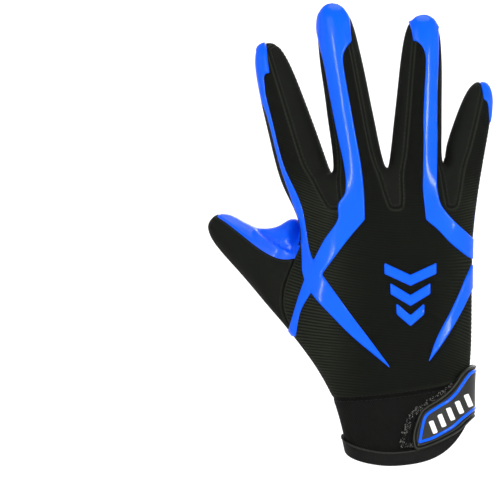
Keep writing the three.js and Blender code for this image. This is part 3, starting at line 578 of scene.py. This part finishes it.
# Folds of the palm's coating: points of each in millimetres, and how far its middle stands up or sinks
palmFolds = [
    {
        "height": 0.9, "width": 1.6,
        "path": [(-52, 89.5), (-42, 84), (-29.6, 81), (-22.5, 77), (-22.5, 70.5), (-31.5, 66.5),
                 (-45, 64.5), (-54, 67.5), (-62.7, 74.2), (-69.8, 80.5), (-77.5, 84)],
    },
    {"height": -0.7, "width": 1.3,
     "path": [(-50, 118), (-38, 121), (-26, 119.5), (-13, 122), (0, 121), (14, 123), (28, 120)]},
    {"height": 0.45, "width": 1.2, "path": [(-48, 108), (-30, 103), (-8, 101), (12, 104), (26, 110)]},
    {"height": -0.5, "width": 1.4, "path": [(-34, 36), (-16, 39), (4, 38), (20, 41)]},
    {"height": 0.4, "width": 1.0, "path": [(-38, 58), (-20, 55), (-2, 58), (14, 66)]},
]


# Folds of the web between thumb and index finger, as seen from the back
webFolds = [
    {"height": 1.3, "width": 1.5,
     "path": [(-76, 103.6), (-74.5, 101.6), (-69.8, 98.2), (-65.4, 95.5), (-61, 93.6), (-56, 91.6)]},
    {"height": -1.5, "width": 1.1,
     "path": [(-74.5, 104.4), (-69.4, 100.6), (-65, 97.9), (-60.4, 96), (-55.4, 94)]},
    {"height": 0.6, "width": 0.7, "path": [(-64.5, 98.6), (-62.2, 99.8), (-59.6, 100.9), (-56, 101.2)]},
    {"height": 1.6, "width": 4.5, "path": [(-69, 107), (-65, 109.5), (-60, 110)]},
]


def palmRelief(places, normals):
    height = np.zeros(len(places))
    flat = places[:, [0, 2]] / mm
    for fold in palmFolds + webFolds:
        facing = np.clip(normals[:, 1] if fold in palmFolds else 0.35 - normals[:, 1], 0, 1)
        path = curveThrough([Vector(p) for p in fold["path"]], False, 90)
        away = distanceToPath(flat, path, False)
        height += fold["height"] * np.exp(-((away / fold["width"]) ** 2)) * facing
    return height


def vertexArrays(mesh):
    places = np.empty(len(mesh.vertices) * 3)
    normals = np.empty(len(mesh.vertices) * 3)
    mesh.vertices.foreach_get("co", places)
    mesh.vertices.foreach_get("normal", normals)
    return places.reshape(-1, 3), normals.reshape(-1, 3)


def ribCount(place, normal):
    # ribs sag in the middle across the knuckles, and lower down they slope towards the little finger
    spacing, slope, sag, fall = 1.4, 0.08, 0.0038, 0.006
    x, z = place.x / mm, place.z / mm
    high = min(max((z - 50) / 50, 0), 1)
    bend = fall * (1 - high) - sag * high if x > 0 else -sag * high
    return (z + slope * (1 - high) * x + bend * x**2) / spacing


def ribStrength(place, normal):
    # clear at the sides of the hand, where the cloth turns away, and faint elsewhere: it scales the rib bump
    # and the painted rib highlight and shade
    x, z = place.x / mm, place.z / mm
    onFingers = min(max((z - 118) / 16, 0), 1)
    toSide = min(max((abs(x + 4) - 14) / 22, 0), 1)
    return (0.1 + 0.9 * toSide**2) * (1 - 0.85 * onFingers)


def waleCount(place, normal):
    # about 60 degrees from level, counted round the wrist
    spacing, radius, steep = 0.95, 30, radians(60)
    around = radius * atan2(place.x / mm + 3, -place.y / mm)
    return (around * sin(steep) - place.z / mm * cos(steep)) / spacing


def splitPanel(node, look):
    bm = quadCopy(node)
    sortWall(bm, look["wall"])
    keepRimSharp(bm)
    fine = subdivided(meshFrom(bm, node + "_cut"), 2)
    outer, rest = bmesh.new(), bmesh.new()
    for part, keepOuter in ((outer, True), (rest, False)):
        part.from_mesh(fine)
        wrong = [f for f in part.faces if (f.material_index == outerSide) != keepOuter]
        bmesh.ops.delete(part, geom=wrong, context="FACES")
    outerMesh = subdivided(meshFrom(outer, node + "_outer"), 1, "PRESERVE_CORNERS")
    outer = bmesh.new()
    outer.from_mesh(outerMesh)
    return outer, rest, outerMesh


def meetingPlace(place, others):
    # halfway to the neighbouring panel's rim, so that a seam shows no daylight
    near, _, away = others.find(place)
    if away > sewing["reach"] * mm:
        return place
    return place + (near - place) * (0.5 - sewing["slit"] / 2 / max(away / mm, sewing["slit"]))


def rimPaths(bm):
    # each rim of an open sheet as closed rows of places, normals and ways in
    paths = []
    rimEdges = [e for e in bm.edges if e.is_boundary]
    waiting = set(rimEdges)
    for edge in rimEdges:  # in the mesh's own order, so every run starts each rim at the same place
        if edge not in waiting:
            continue
        waiting.discard(edge)
        row, tip = [edge.verts[0]], edge.verts[1]
        while tip is not None:
            row.append(tip)
            following = [e for e in tip.link_edges if e in waiting]
            waiting.difference_update(following[:1])
            tip = following[0].other_vert(tip) if following else None
        path = []
        for vert in row:
            inner = sum((f.calc_center_median() for f in vert.link_faces), Vector()) / len(vert.link_faces)
            path.append((vert.co.copy(), vert.normal.copy(), inner - vert.co))
        paths.append(path)
    return paths


# Where the back's black cloth comes over to the palm's panel: two fingertips and the index's outer edge
blackEdges = [
    {"on": "index", "from": 0.86, "to": 1.4, "left": -0.12, "right": 1.4, "front": 0.55, "reach": 99},
    {"on": "little", "from": -0.1, "to": 1.4, "left": -1.4, "right": -0.1, "front": 0.25, "reach": 99},
    {"on": "index", "from": -0.15, "to": 0.6, "left": -2, "right": -0.4, "front": 0.3, "reach": 7},
    {"on": "index", "from": -0.45, "to": -0.1, "left": -1.3, "right": -0.4, "front": 0.2, "reach": 2.4},
]


def isBlackEdge(place, normal, fromRim):
    for edge in blackEdges:
        finger = fingers[edge["on"]]
        lean = radians(finger["lean"])
        x = place.x / mm - finger["rootX"] * hand["palmWidth"]
        z = place.z / mm - finger["rootUp"] * hand["palmHeight"]
        along = (x * sin(lean) + z * cos(lean)) / finger["length"]
        across = (x * cos(lean) - z * sin(lean)) / (finger["width"] / 2)
        inside = edge["from"] < along < edge["to"] and edge["left"] < across < edge["right"]
        if inside and normal.y < edge["front"] and fromRim < edge["reach"]:
            return True
    return False


seams = {}


def dressPanel(node, look, parts, others):
    outer, rest, outerMesh = parts
    rimVerts = [v for v in outer.verts if v.is_boundary]
    toRim = nearestTree([v.co for v in rimVerts])
    places, normals = vertexArrays(outerMesh)
    relief = palmRelief(places, normals) if node == "palm_panel" else np.zeros(len(places))
    shifts = {}
    for vert, folds in zip(outer.verts, relief):
        away = toRim.find(vert.co)[2] / mm
        valley = sewing["seamDepth"] * exp(-((away / sewing["seamWidth"]) ** 2))
        settled = 1 - exp(-((away / 4) ** 2))
        shifts[vert] = vert.normal * (clothWave(vert.co) * settled + folds * settled - valley) * mm
    rimStart = [v.co.copy() for v in rimVerts]
    for vert in rimVerts:
        shifts[vert] = shifts[vert] + meetingPlace(vert.co, others) - vert.co
    for vert, shift in shifts.items():
        vert.co += shift
    outer.normal_update()
    seams[node] = {"paths": rimPaths(outer), "surface": BVHTree.FromBMesh(outer)}
    if node == "palm_panel":
        toMovedRim = nearestTree([v.co for v in rimVerts])
        for face in outer.faces:
            middle = face.calc_center_median()
            if isBlackEdge(middle, face.normal, toMovedRim.find(middle)[2] / mm):
                face.material_index = blackSide
    # the cut edge and the inner side follow the outer side's rim
    bmesh.ops.subdivide_edges(rest, edges=[e for e in rest.edges if e.is_boundary], cuts=1)
    follow = nearestTree(rimStart)
    for vert in rest.verts:
        _, index, away = follow.find(vert.co)
        if vert.is_boundary:
            vert.co = rimVerts[index].co
        else:
            vert.co += shifts[rimVerts[index]] * max(0, 1 - away / (look["wall"] * mm))
    whole = bmesh.new()
    for part in (outer, rest):
        whole.from_mesh(meshFrom(part, node + "_part"))
    seam = [v for v in whole.verts if v.is_boundary]
    bmesh.ops.remove_doubles(whole, verts=seam, dist=sewing["weld"] * mm)
    mesh = meshFrom(whole, look["piece"])
    # where the painted seam shade and the painted highlights beside it fall, in mm from the seam
    seamLook = {"darkWidth": 0.22, "lightFrom": 1.0, "lightWidth": 0.45}
    toSeam = nearestTree([v.co.copy() for v in seamVertices(mesh)])
    away = [toSeam.find(v.co)[2] / mm for v in mesh.vertices]
    beside = [(d - seamLook["lightFrom"]) / seamLook["lightWidth"] for d in away]
    addValues(mesh, "seamDark", [exp(-((d / seamLook["darkWidth"]) ** 2)) for d in away])
    addValues(mesh, "seamLight", [exp(-(b**2)) for b in beside])
    if node == "back_panel":
        addPattern(mesh, "ribs", ribCount)
        addPattern(mesh, "ribStrength", ribStrength)
    if node.startswith("cuff"):
        addPattern(mesh, "ribs", waleCount)
    cloths = [look["cloth"], lining, look["cloth"], jersey]
    return addPiece(look["piece"], mesh, cloths, look["slot"], [node])


parts = {node: splitPanel(node, look) for node, look in panels.items()}
rims = {node: [v.co.copy() for v in outer.verts if v.is_boundary] for node, (outer, _, _) in parts.items()}
for node, look in panels.items():
    others = nearestTree([place for other, rim in rims.items() if other != node for place in rim])
    dressed = dressPanel(node, look, parts[node], others)
    print(look["piece"], len(dressed.data.polygons), "faces")


# The whole outer skin as one sheet, which everything that lies on the glove follows

def wholeSkin():
    skin = bmesh.new()
    for index, (node, look) in enumerate(panels.items()):
        bm = quadCopy(node)
        sortWall(bm, look["wall"])
        bmesh.ops.delete(bm, geom=[f for f in bm.faces if f.material_index != outerSide], context="FACES")
        for face in bm.faces:
            face.material_index = index
        skin.from_mesh(meshFrom(bm, node + "_outside"))
    rim = [v for v in skin.verts if v.is_boundary]
    bmesh.ops.remove_doubles(skin, verts=rim, dist=sewing["seamMerge"] * mm)
    mesh = subdivided(meshFrom(skin, "skin"), 3)
    skin = bmesh.new()
    skin.from_mesh(mesh)
    for vert, shift in [(v, v.normal * clothWave(v.co) * mm) for v in skin.verts]:
        vert.co += shift
    return meshFrom(skin, "skin")


skinMesh = wholeSkin()
skinTree = BVHTree.FromPolygons(
    [v.co for v in skinMesh.vertices], [p.vertices for p in skinMesh.polygons]
)
print("skin", len(skinMesh.polygons), "faces")


# Raised pieces: cut from a sheet along an outline, with a rounded edge, and closed underneath

def cutAtLevel(bm, field, level):
    for vert in bm.verts:
        if abs(vert[field] - level) < 1e-4:
            vert[field] = level + 1e-4
    crossing = [e for e in bm.edges if (e.verts[0][field] - level) * (e.verts[1][field] - level) < 0]
    made = []
    for edge in crossing:
        start, end = edge.verts
        share = (level - start[field]) / (end[field] - start[field])
        vert = bmesh.utils.edge_split(edge, start, share)[1]
        vert[field] = level
        made.append(vert)
    bmesh.ops.connect_verts(bm, verts=made)


def heightAt(profile, distance):
    if distance <= profile[0][0]:
        return profile[0][1]
    for (near, low), (far, high) in zip(profile, profile[1:]):
        if distance <= far:
            return low + (high - low) * (distance - near) / (far - near)
    return profile[-1][1]


def raisedFrom(bm, fieldOf, profile, under, keepAbove=0):
    # fieldOf gives each point's distance inside the edge in mm, the profile its height at each distance
    field = bm.verts.layers.float.new("field")
    places = np.array([tuple(v.co) for v in bm.verts])
    for vert, value in zip(bm.verts, fieldOf(places)):
        vert[field] = value
    cutAtLevel(bm, field, keepAbove)
    outside = [f for f in bm.faces if min(v[field] for v in f.verts) < keepAbove - 1e-6]
    bmesh.ops.delete(bm, geom=outside, context="FACES")
    for distance, _ in profile[1:]:
        cutAtLevel(bm, field, distance)
    bmesh.ops.remove_doubles(bm, verts=bm.verts, dist=0.015 * mm)
    bm.normal_update()
    normals = {v: v.normal.copy() for v in bm.verts}
    below = list(bm.verts)
    lower = list(bm.faces)
    above = bmesh.ops.extrude_face_region(bm, geom=lower, use_keep_orig=True)["geom"]
    top = [v for v in above if isinstance(v, bmesh.types.BMVert)]
    match = nearestTree([v.co for v in below])
    moves = []
    for vert in top:
        source = below[match.find(vert.co)[1]]
        moves.append((vert, normals[source] * heightAt(profile, vert[field]) * mm))
    for vert in below:
        vert.co += normals[vert] * under * mm
    for vert, move in moves:
        vert.co += move
    bmesh.ops.reverse_faces(bm, faces=[f for f in lower if f.is_valid])
    return bm


def partOfSkin(nodes, low, high):
    # the faces of some panels between two corners of the front view, and a band of their neighbours
    bm = bmesh.new()
    bm.from_mesh(skinMesh)
    wanted = {list(panels).index(node) for node in nodes}
    far = []
    for face in bm.faces:
        middle = face.calc_center_median() / mm
        inReach = low[0] < middle.x < high[0] and low[1] < middle.z < high[1]
        if face.material_index not in wanted or not inReach:
            far.append(face)
    rim = set()
    for edge in bm.edges:
        kinds = {f.material_index in wanted for f in edge.link_faces}
        if len(kinds) > 1:
            rim.update(edge.verts)
    rimPoints = [v.co.copy() for v in rim]
    bmesh.ops.delete(bm, geom=far, context="FACES")
    return bm, nearestTree(rimPoints)


def reachOf(outlines, margin=3):
    xs = [p.x for outline in outlines for p in outline]
    zs = [p.y for outline in outlines for p in outline]
    return (min(xs) - margin, min(zs) - margin), (max(xs) + margin, max(zs) + margin)


ink = {
    "height": 0.75, "edge": 0.08, "round": 0.28, "full": 0.7, "under": -0.25,
    "rimMargin": 0.5, "rimSlope": 0.4, "turn": 0.05, "turnSlope": 5,  # ends where the skin turns away
}
inkProfile = [(0, ink["edge"]), (ink["round"], 0.72 * ink["height"]), (ink["full"], ink["height"])]


def raisedInk(name, node, outlines, nodes, profile=inkProfile):
    bm, toRim = partOfSkin(nodes, *reachOf(outlines))

    def fieldOf(places):
        flat = places[:, [0, 2]] / mm
        inside = np.max([distanceToPath(flat, outline, True) for outline in outlines], axis=0)
        fromRim = np.array([toRim.find(Vector(p))[2] / mm - ink["rimMargin"] for p in places])
        facing = np.array([ink["turn"] - skinTree.find_nearest(Vector(p))[1].y for p in places])
        return np.minimum(np.minimum(inside, fromRim * ink["rimSlope"]), facing * ink["turnSlope"])

    mesh = meshFrom(raisedFrom(bm, fieldOf, profile, ink["under"]), name)
    return addPiece(name, mesh, [inkPrint], "raised_blue", [node], 65)


backNodes = ["back_panel", "thumb_back", *gussets]
stripes = {
    "overlay_radial": {"piece": "stripe_radial", "bands": [indexStripe, middleStripe], "on": backNodes},
    "overlay_ring": {"piece": "stripe_ring", "bands": [ringStripe], "on": backNodes},
    "overlay_ulnar": {"piece": "stripe_ulnar", "bands": [ulnarStripe], "on": ["back_panel"]},
    "overlay_little": {"piece": "stripe_little", "bands": [littleStripe], "on": backNodes},
}
for node, look in stripes.items():
    raisedInk(look["piece"], node, [stripe(rows) for rows in look["bands"]], look["on"])
    print(look["piece"], "raised")

chevron = {"count": 3, "x": 0.006, "up": 0.43, "width": 14, "growth": 6, "pitch": 10, "rise": 6, "arm": 5.5}
for i in range(chevron["count"]):
    half = (chevron["width"] + i * chevron["growth"]) / 2
    tip = onHand(chevron["x"], chevron["up"]) + Vector((0, i * chevron["pitch"]))
    rise, arm = chevron["rise"], chevron["arm"]
    corners = [(-half, rise + arm), (-half, rise), (0, 0), (half, rise), (half, rise + arm), (0, arm)]
    outline = [Vector(corner) + tip for corner in corners]
    raisedInk(f"chevron_ink_{i + 1}", f"chevron_{i + 1}", [outline], ["back_panel"])
print("chevrons raised")


# The strap, its raised border and what is on it lie on a smooth sheet round the wrist

wrap = {
    "middleX": -3, "from": -12, "to": 112, "low": -14, "high": 52, "cell": 0.6, "radius": 33, "smooth": 14,
}


def wristPoint(around, z):
    out = Vector((sin(around), -cos(around), 0))
    centre = Vector((wrap["middleX"] * mm, 0, 0))
    height = z
    while height < wrap["high"] * 2:
        origin = centre + out * 0.12 + Vector((0, 0, height * mm))
        hit, _, _, _ = skinTree.ray_cast(origin, -out)
        if hit is not None and (hit - centre).dot(out) > 0.008:
            break
        height += 1
    return Vector((hit.x, hit.y, z * mm))


def wristSheet():
    start, end = radians(wrap["from"]), radians(wrap["to"])
    bm = bmesh.new()
    acrossCount = ceil((end - start) * wrap["radius"] / wrap["cell"])
    upCount = ceil((wrap["high"] - wrap["low"]) / wrap["cell"])
    bmesh.ops.create_grid(bm, x_segments=acrossCount, y_segments=upCount, size=1)
    for vert in bm.verts:
        around = start + (end - start) * (vert.co.x + 1) / 2
        vert.co = wristPoint(around, wrap["low"] + (wrap["high"] - wrap["low"]) * (vert.co.y + 1) / 2)
    free = [v for v in bm.verts if not v.is_boundary]
    for _ in range(wrap["smooth"]):
        bmesh.ops.smooth_vert(bm, verts=free, factor=0.5, use_axis_x=True, use_axis_y=True, use_axis_z=False)
    bm.normal_update()
    if bm.faces[:][0].normal.y > 0:
        bmesh.ops.reverse_faces(bm, faces=bm.faces)
        bm.normal_update()
    return meshFrom(bm, "wrist")


wristMesh = wristSheet()
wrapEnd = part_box("closure_strap")[1].y  # where the strap's end goes in at the palm's side
strap = {"bottom": 1.65, "top": 3.4, "trim": 0.45}
strapProfile = [
    (0, 2.2), (0.3, 2.95), (0.7, 3.25), (1.1, 3.15), (1.5, 2.7), (2.0, 3.05), (2.4, 3.35), (2.8, 3.0),
    (3.3, 3.1), (3.8, 3.2),
]


def onWristSheet(name, node, fieldOf, profile, under, materials, slot, end=None):
    bm = bmesh.new()
    bm.from_mesh(wristMesh)
    high = wrapEnd - strap["top"] * mm if end is None else end * mm

    def field(places):
        flat = places[:, [0, 2]] / mm
        return np.minimum(fieldOf(flat), (high - places[:, 1]) / mm)

    mesh = meshFrom(raisedFrom(bm, field, profile, under), name)
    # the painted ridge highlights lie at these distances inside the strap's edge
    crests = {"at": (0.7, 2.4), "width": 0.3}
    depth = [entry.value for entry in mesh.attributes["field"].data]
    near = [[(d - at) / crests["width"] for at in crests["at"]] for d in depth]
    addValues(mesh, "crest", [sum(exp(-(n**2)) for n in row) for row in near])
    return addPiece(name, mesh, materials, slot, [node], 60)


def insideOf(outline):
    return lambda flat: distanceToPath(flat, outline, True)


def alongLine(path, width):
    return lambda flat: width / 2 - distanceToPath(flat, path, False)


strapOutline = curveThrough(strapEdge, True)
onWristSheet(
    "strap_rubber", "closure_strap", insideOf(strapOutline), strapProfile, strap["bottom"], [rubber],
    "strap_rubber",
)
blueLine = {"width": 1.35, "low": 3.2, "high": 3.62}
lineProfile = [(0, 3.25), (0.2, blueLine["high"] - 0.08), (0.45, blueLine["high"])]
linePath = curveThrough(strapLine, False, 50)
onWristSheet(
    "strap_blue_line", "strap_outline", alongLine(linePath, blueLine["width"]), lineProfile, 2.9, [inkPrint],
    "raised_blue",
)
bars = {
    "count": 5, "first": onWrist(0.17, 0.29), "last": onWrist(0.42, 0.78), "slant": -20,
    "length": 6.5, "width": 2.3, "end": 2,
}
for i in range(bars["count"]):
    middle = bars["first"].lerp(bars["last"], i / (bars["count"] - 1))
    slant = radians(bars["slant"])
    half = Vector((sin(slant), cos(slant))) * (bars["length"] / 2)
    side = Vector((cos(slant), -sin(slant))) * (bars["width"] / 2)
    outline = [middle + half + side, middle - half + side, middle - half - side, middle + half - side]
    onWristSheet(
        f"strap_bar_{i + 1}", f"strap_mark_{i + 1}", insideOf(outline), lineProfile, 2.9, [strapInk],
        "strap_white", bars["end"],
    )
print("strap wrapped")


# Stitches: short bowed threads that go in at both ends, along the panels' seams

def stitchRows(node, look):
    surface = seams[node]["surface"]
    shares = [(0, -0.1), (0.3, look["proud"]), (0.7, look["proud"]), (1, -0.1)]
    paths = []
    for rim in seams[node]["paths"]:
        row = []
        for (place, _, inward), (following, _, _) in zip(rim, rim[1:]):
            side = inward - inward.project(following - place)
            row.append(place + side.normalized() * look["inset"] * mm)
        travelled = np.cumsum([0] + [(b - a).length / mm for a, b in zip(row, row[1:])])
        ends = np.array([tuple(p) for p in row])
        for start in np.arange(0, travelled[-1] - look["length"], look["pitch"]):
            path = []
            for share, lift in shares:
                at = start + share * look["length"]
                place = Vector([np.interp(at, travelled, ends[:, axis]) for axis in range(3)])
                hit, normal, _, _ = surface.find_nearest(place)
                path.append(hit + normal * lift * mm)
            if path[0].z > look.get("above", -1) * mm and normal.y > look.get("facing", -1.1):
                paths.append(path)
    return paths


stitching = {
    "palm_stitches": {
        "nodes": ["palm_panel"], "thread": blueThread, "slot": "coated_palm",
        "inset": 1.7, "pitch": 3.0, "length": 2.2, "radius": 0.2, "proud": 0.03, "facing": 0.35,
    },
    "back_stitches": {
        "nodes": ["back_panel", "thumb_back", *gussets], "thread": blackThread, "slot": "ribbed_mesh",
        "inset": 1.15, "pitch": 2.2, "length": 1.6, "radius": 0.13, "proud": 0.03,
    },
    "cuff_stitches": {
        "nodes": ["cuff_back", "cuff_palm"], "thread": blackThread, "slot": "cuff_knit", "above": 18,
        "inset": 1.3, "pitch": 2.4, "length": 1.7, "radius": 0.14, "proud": 0.03,
    },
}


# The loop patch and its pile

def tubesAlong(name, paths, radius, closed=False, sides=0):
    # round threads along paths of points, as one mesh
    curve = bpy.data.curves.new(name, "CURVE")
    curve.dimensions = "3D"
    curve.bevel_depth = radius * mm
    curve.bevel_resolution = sides
    curve.use_fill_caps = not closed
    for path in paths:
        spline = curve.splines.new("POLY")
        spline.points.add(len(path) - 1)
        spline.use_cyclic_u = closed
        for place, point in zip(path, spline.points):
            point.co = (*place, 1)
    holder = bpy.data.objects.new(name, curve)
    bpy.context.collection.objects.link(holder)
    graph = bpy.context.evaluated_depsgraph_get()
    mesh = bpy.data.meshes.new_from_object(holder.evaluated_get(graph))
    bpy.data.objects.remove(holder)
    return mesh


for name, look in stitching.items():
    rows = [path for node in look["nodes"] for path in stitchRows(node, look)]
    addPiece(name, tubesAlong(name, rows, look["radius"], sides=1), [look["thread"]], look["slot"], (), 180)
    print(name, len(rows))


def loopPatch():
    patch = {"height": 1.1, "loops": 1500, "loopLength": 1.8, "thread": 0.055, "spread": 0.9, "seed": 7}
    bright = {"share": 0.75, "from": 0.1, "to": 2.4}  # how many loops beside the edge get the pale pile, a painted highlight
    profile = [(0, 0.3), (0.5, 0.85), (1.2, patch["height"])]
    outline = curveThrough(patchEdge, True)
    bm = bmesh.new()
    bm.from_mesh(wristMesh)
    raisedFrom(bm, lambda places: distanceToPath(places[:, [0, 2]] / mm, outline, True), profile, 0.2)
    draw = random.Random(patch["seed"])
    faces = [f for f in bm.faces if f.normal.y < -0.2]
    sizes = [f.calc_area() for f in faces]
    paths, brightPaths = [], []
    for face in draw.choices(faces, sizes, k=patch["loops"]):
        foot = face.calc_center_median() + Vector([draw.uniform(-0.3, 0.3) * mm for _ in range(3)])
        side = face.normal.orthogonal().normalized()
        side.rotate(Matrix.Rotation(draw.uniform(0, 2 * pi), 3, face.normal))
        width = patch["spread"] * draw.uniform(0.6, 1.3) * mm
        height = patch["loopLength"] * draw.uniform(0.35, 0.8) * mm
        inward = distanceToPath(np.array([[foot.x, foot.z]]) / mm, outline, True)[0]
        atEdge = bright["from"] < inward < bright["to"] and draw.random() < bright["share"]
        (brightPaths if atEdge else paths).append([
            foot + side * width * (t - 0.5) + face.normal * height * (sin(pi * t) - 0.15)
            for t in (0, 0.2, 0.4, 0.6, 0.8, 1)
        ])
    mesh = meshFrom(bm, "loop_patch_base")
    addPiece("loop_base", mesh, [pile], "loop_pile", ["loop_patch"], 60)
    # the loops beside the edge are drawn thicker in the pale pile, a painted highlight
    threads = (("loop_threads", paths, pile, 1), ("loop_threads_bright", brightPaths, brightPile, 1.6))
    for name, rows, finish, thicker in threads:
        radius = patch["thread"] * thicker
        addPiece(name, tubesAlong(name, rows, radius), [finish], "loop_pile", (), 180)


loopPatch()
print("loop patch ready")


# The binding: the frame's own tape, rounded over its folds, with a piped edge

def roundedTape():
    bm = quadCopy("cuff_binding")
    crease = bm.edges.layers.float.new("crease_edge")
    for edge in bm.edges:
        if len(edge.link_faces) == 2 and degrees(edge.calc_face_angle(0)) > 50:
            edge[crease] = 0.55
    return subdivided(meshFrom(bm, "tape"), 2)


def tapeCount(place, normal):
    spacing, radius = 0.8, 31
    return radius * atan2(place.x / mm + 3, -place.y / mm) / spacing


tapeMesh = roundedTape()
addPattern(tapeMesh, "ribs", tapeCount)
addPiece("binding_tape", tapeMesh, [tape], "binding_tape", ["cuff_binding"])


def insetPath(rim, inset, lift):
    # moves a closed rim's path over the surface, away from the open edge
    count = len(rim)
    path = []
    for i, (place, normal, _) in enumerate(rim):
        before, after = rim[(i - 3) % count][0], rim[(i + 3) % count][0]
        inward = normal.cross(after - before).normalized()
        hit, up, _, _ = skinTree.find_nearest(place + inward * inset * mm)
        other, upOther, _, _ = skinTree.find_nearest(place - inward * inset * mm)
        if (other - place).length > (hit - place).length:
            hit, up = other, upOther
        path.append(hit + up * lift * mm)
    return path


skin = bmesh.new()
skin.from_mesh(skinMesh)
skin.normal_update()
hem = max(rimPaths(skin), key=len)[:-1]  # its last point is its first again
piping = {"inset": 5.0, "lift": 1.0, "radius": 0.42}
pipePath = insetPath(hem, piping["inset"], piping["lift"])
pipeMesh = tubesAlong("binding_piping", [pipePath[::2]], piping["radius"], True, 2)
addPattern(pipeMesh, "ribs", tapeCount)
addPiece("binding_piping", pipeMesh, [pipingTape], "binding_tape")
print("binding ready")


# Camera, light and backdrop

def placeCamera():
    # the glove stands where the photograph has it, at half a millimetre to a pixel
    view = {"x": -79.75, "z": 99.75, "width": 248.5, "distance": 1800, "sensor": 36}
    camera = bpy.data.cameras.new("camera")
    camera.sensor_width = view["sensor"]
    camera.lens = view["sensor"] * view["distance"] / view["width"]
    camera.clip_end = 20
    holder = bpy.data.objects.new("camera", camera)
    bpy.context.collection.objects.link(holder)
    holder.location = (view["x"] * mm, -view["distance"] * mm, view["z"] * mm)
    holder.rotation_euler = (pi / 2, 0, 0)
    bpy.context.scene.camera = holder


def addLight(name, place, size, power, aim=(-0.02, 0, 0.1), height=None):
    light = bpy.data.lights.new(name, "AREA")
    light.shape = "DISK" if height is None else "RECTANGLE"
    light.size = size
    light.size_y = height or size
    light.energy = power
    holder = bpy.data.objects.new(name, light)
    bpy.context.collection.objects.link(holder)
    holder.location = place
    holder.rotation_euler = (Vector(aim) - Vector(place)).to_track_quat("-Z", "Y").to_euler()


def addBackdrop():
    stage = {"floor": -1.15, "radius": 3.4, "bend": 1.2, "height": 4.5}
    bm = bmesh.new()
    profile = [(0.001, 0), (stage["radius"] - stage["bend"], 0)]
    for step in range(1, 9):
        turn = step / 8 * pi / 2
        profile.append((
            stage["radius"] - stage["bend"] + stage["bend"] * sin(turn), stage["bend"] * (1 - cos(turn)),
        ))
    profile.append((stage["radius"], stage["height"]))
    verts = [bm.verts.new((x, 0, z + stage["floor"])) for x, z in profile]
    edges = [bm.edges.new(pair) for pair in zip(verts, verts[1:])]
    bmesh.ops.spin(
        bm, geom=verts + edges, cent=(0, 0, 0), axis=(0, 0, 1), angle=2 * pi, steps=64, use_merge=True
    )
    bmesh.ops.recalc_face_normals(bm, faces=bm.faces)
    mesh = meshFrom(bm, "backdrop")
    mesh.materials.append(studioPaper())
    mesh.polygons.foreach_set("use_smooth", [True] * len(mesh.polygons))
    backdrop = bpy.data.objects.new("backdrop", mesh)
    bpy.context.collection.objects.link(backdrop)


placeCamera()
addBackdrop()
addLight("key", (-1.3, -2.0, 1.9), 1.6, 12)
# two tall strips draw the bright lines down the raised stripes
addLight("strip_left", (-1.13, -2.12, 0.75), 0.14, 20, height=1.4)
addLight("strip_right", (1.48, -1.89, 0.75), 0.24, 36, height=1.4)
addLight("wall", (0, 0.9, 0.4), 1.2, 22, aim=(0, 3.4, 0.4))  # whitens the backdrop alone
addLight("top", (0.1, 0.3, 2.1), 1.6, 16)
addLight("behind", (0.6, 2.2, 1.2), 1.8, 30)
world = bpy.data.worlds.new("studio")
world.use_nodes = True
world.node_tree.nodes["Background"].inputs["Color"].default_value = (1, 1, 1, 1)
world.node_tree.nodes["Background"].inputs["Strength"].default_value = 0.33
bpy.context.scene.world = world
bpy.context.scene.view_settings.view_transform = "Standard"
print("studio ready")
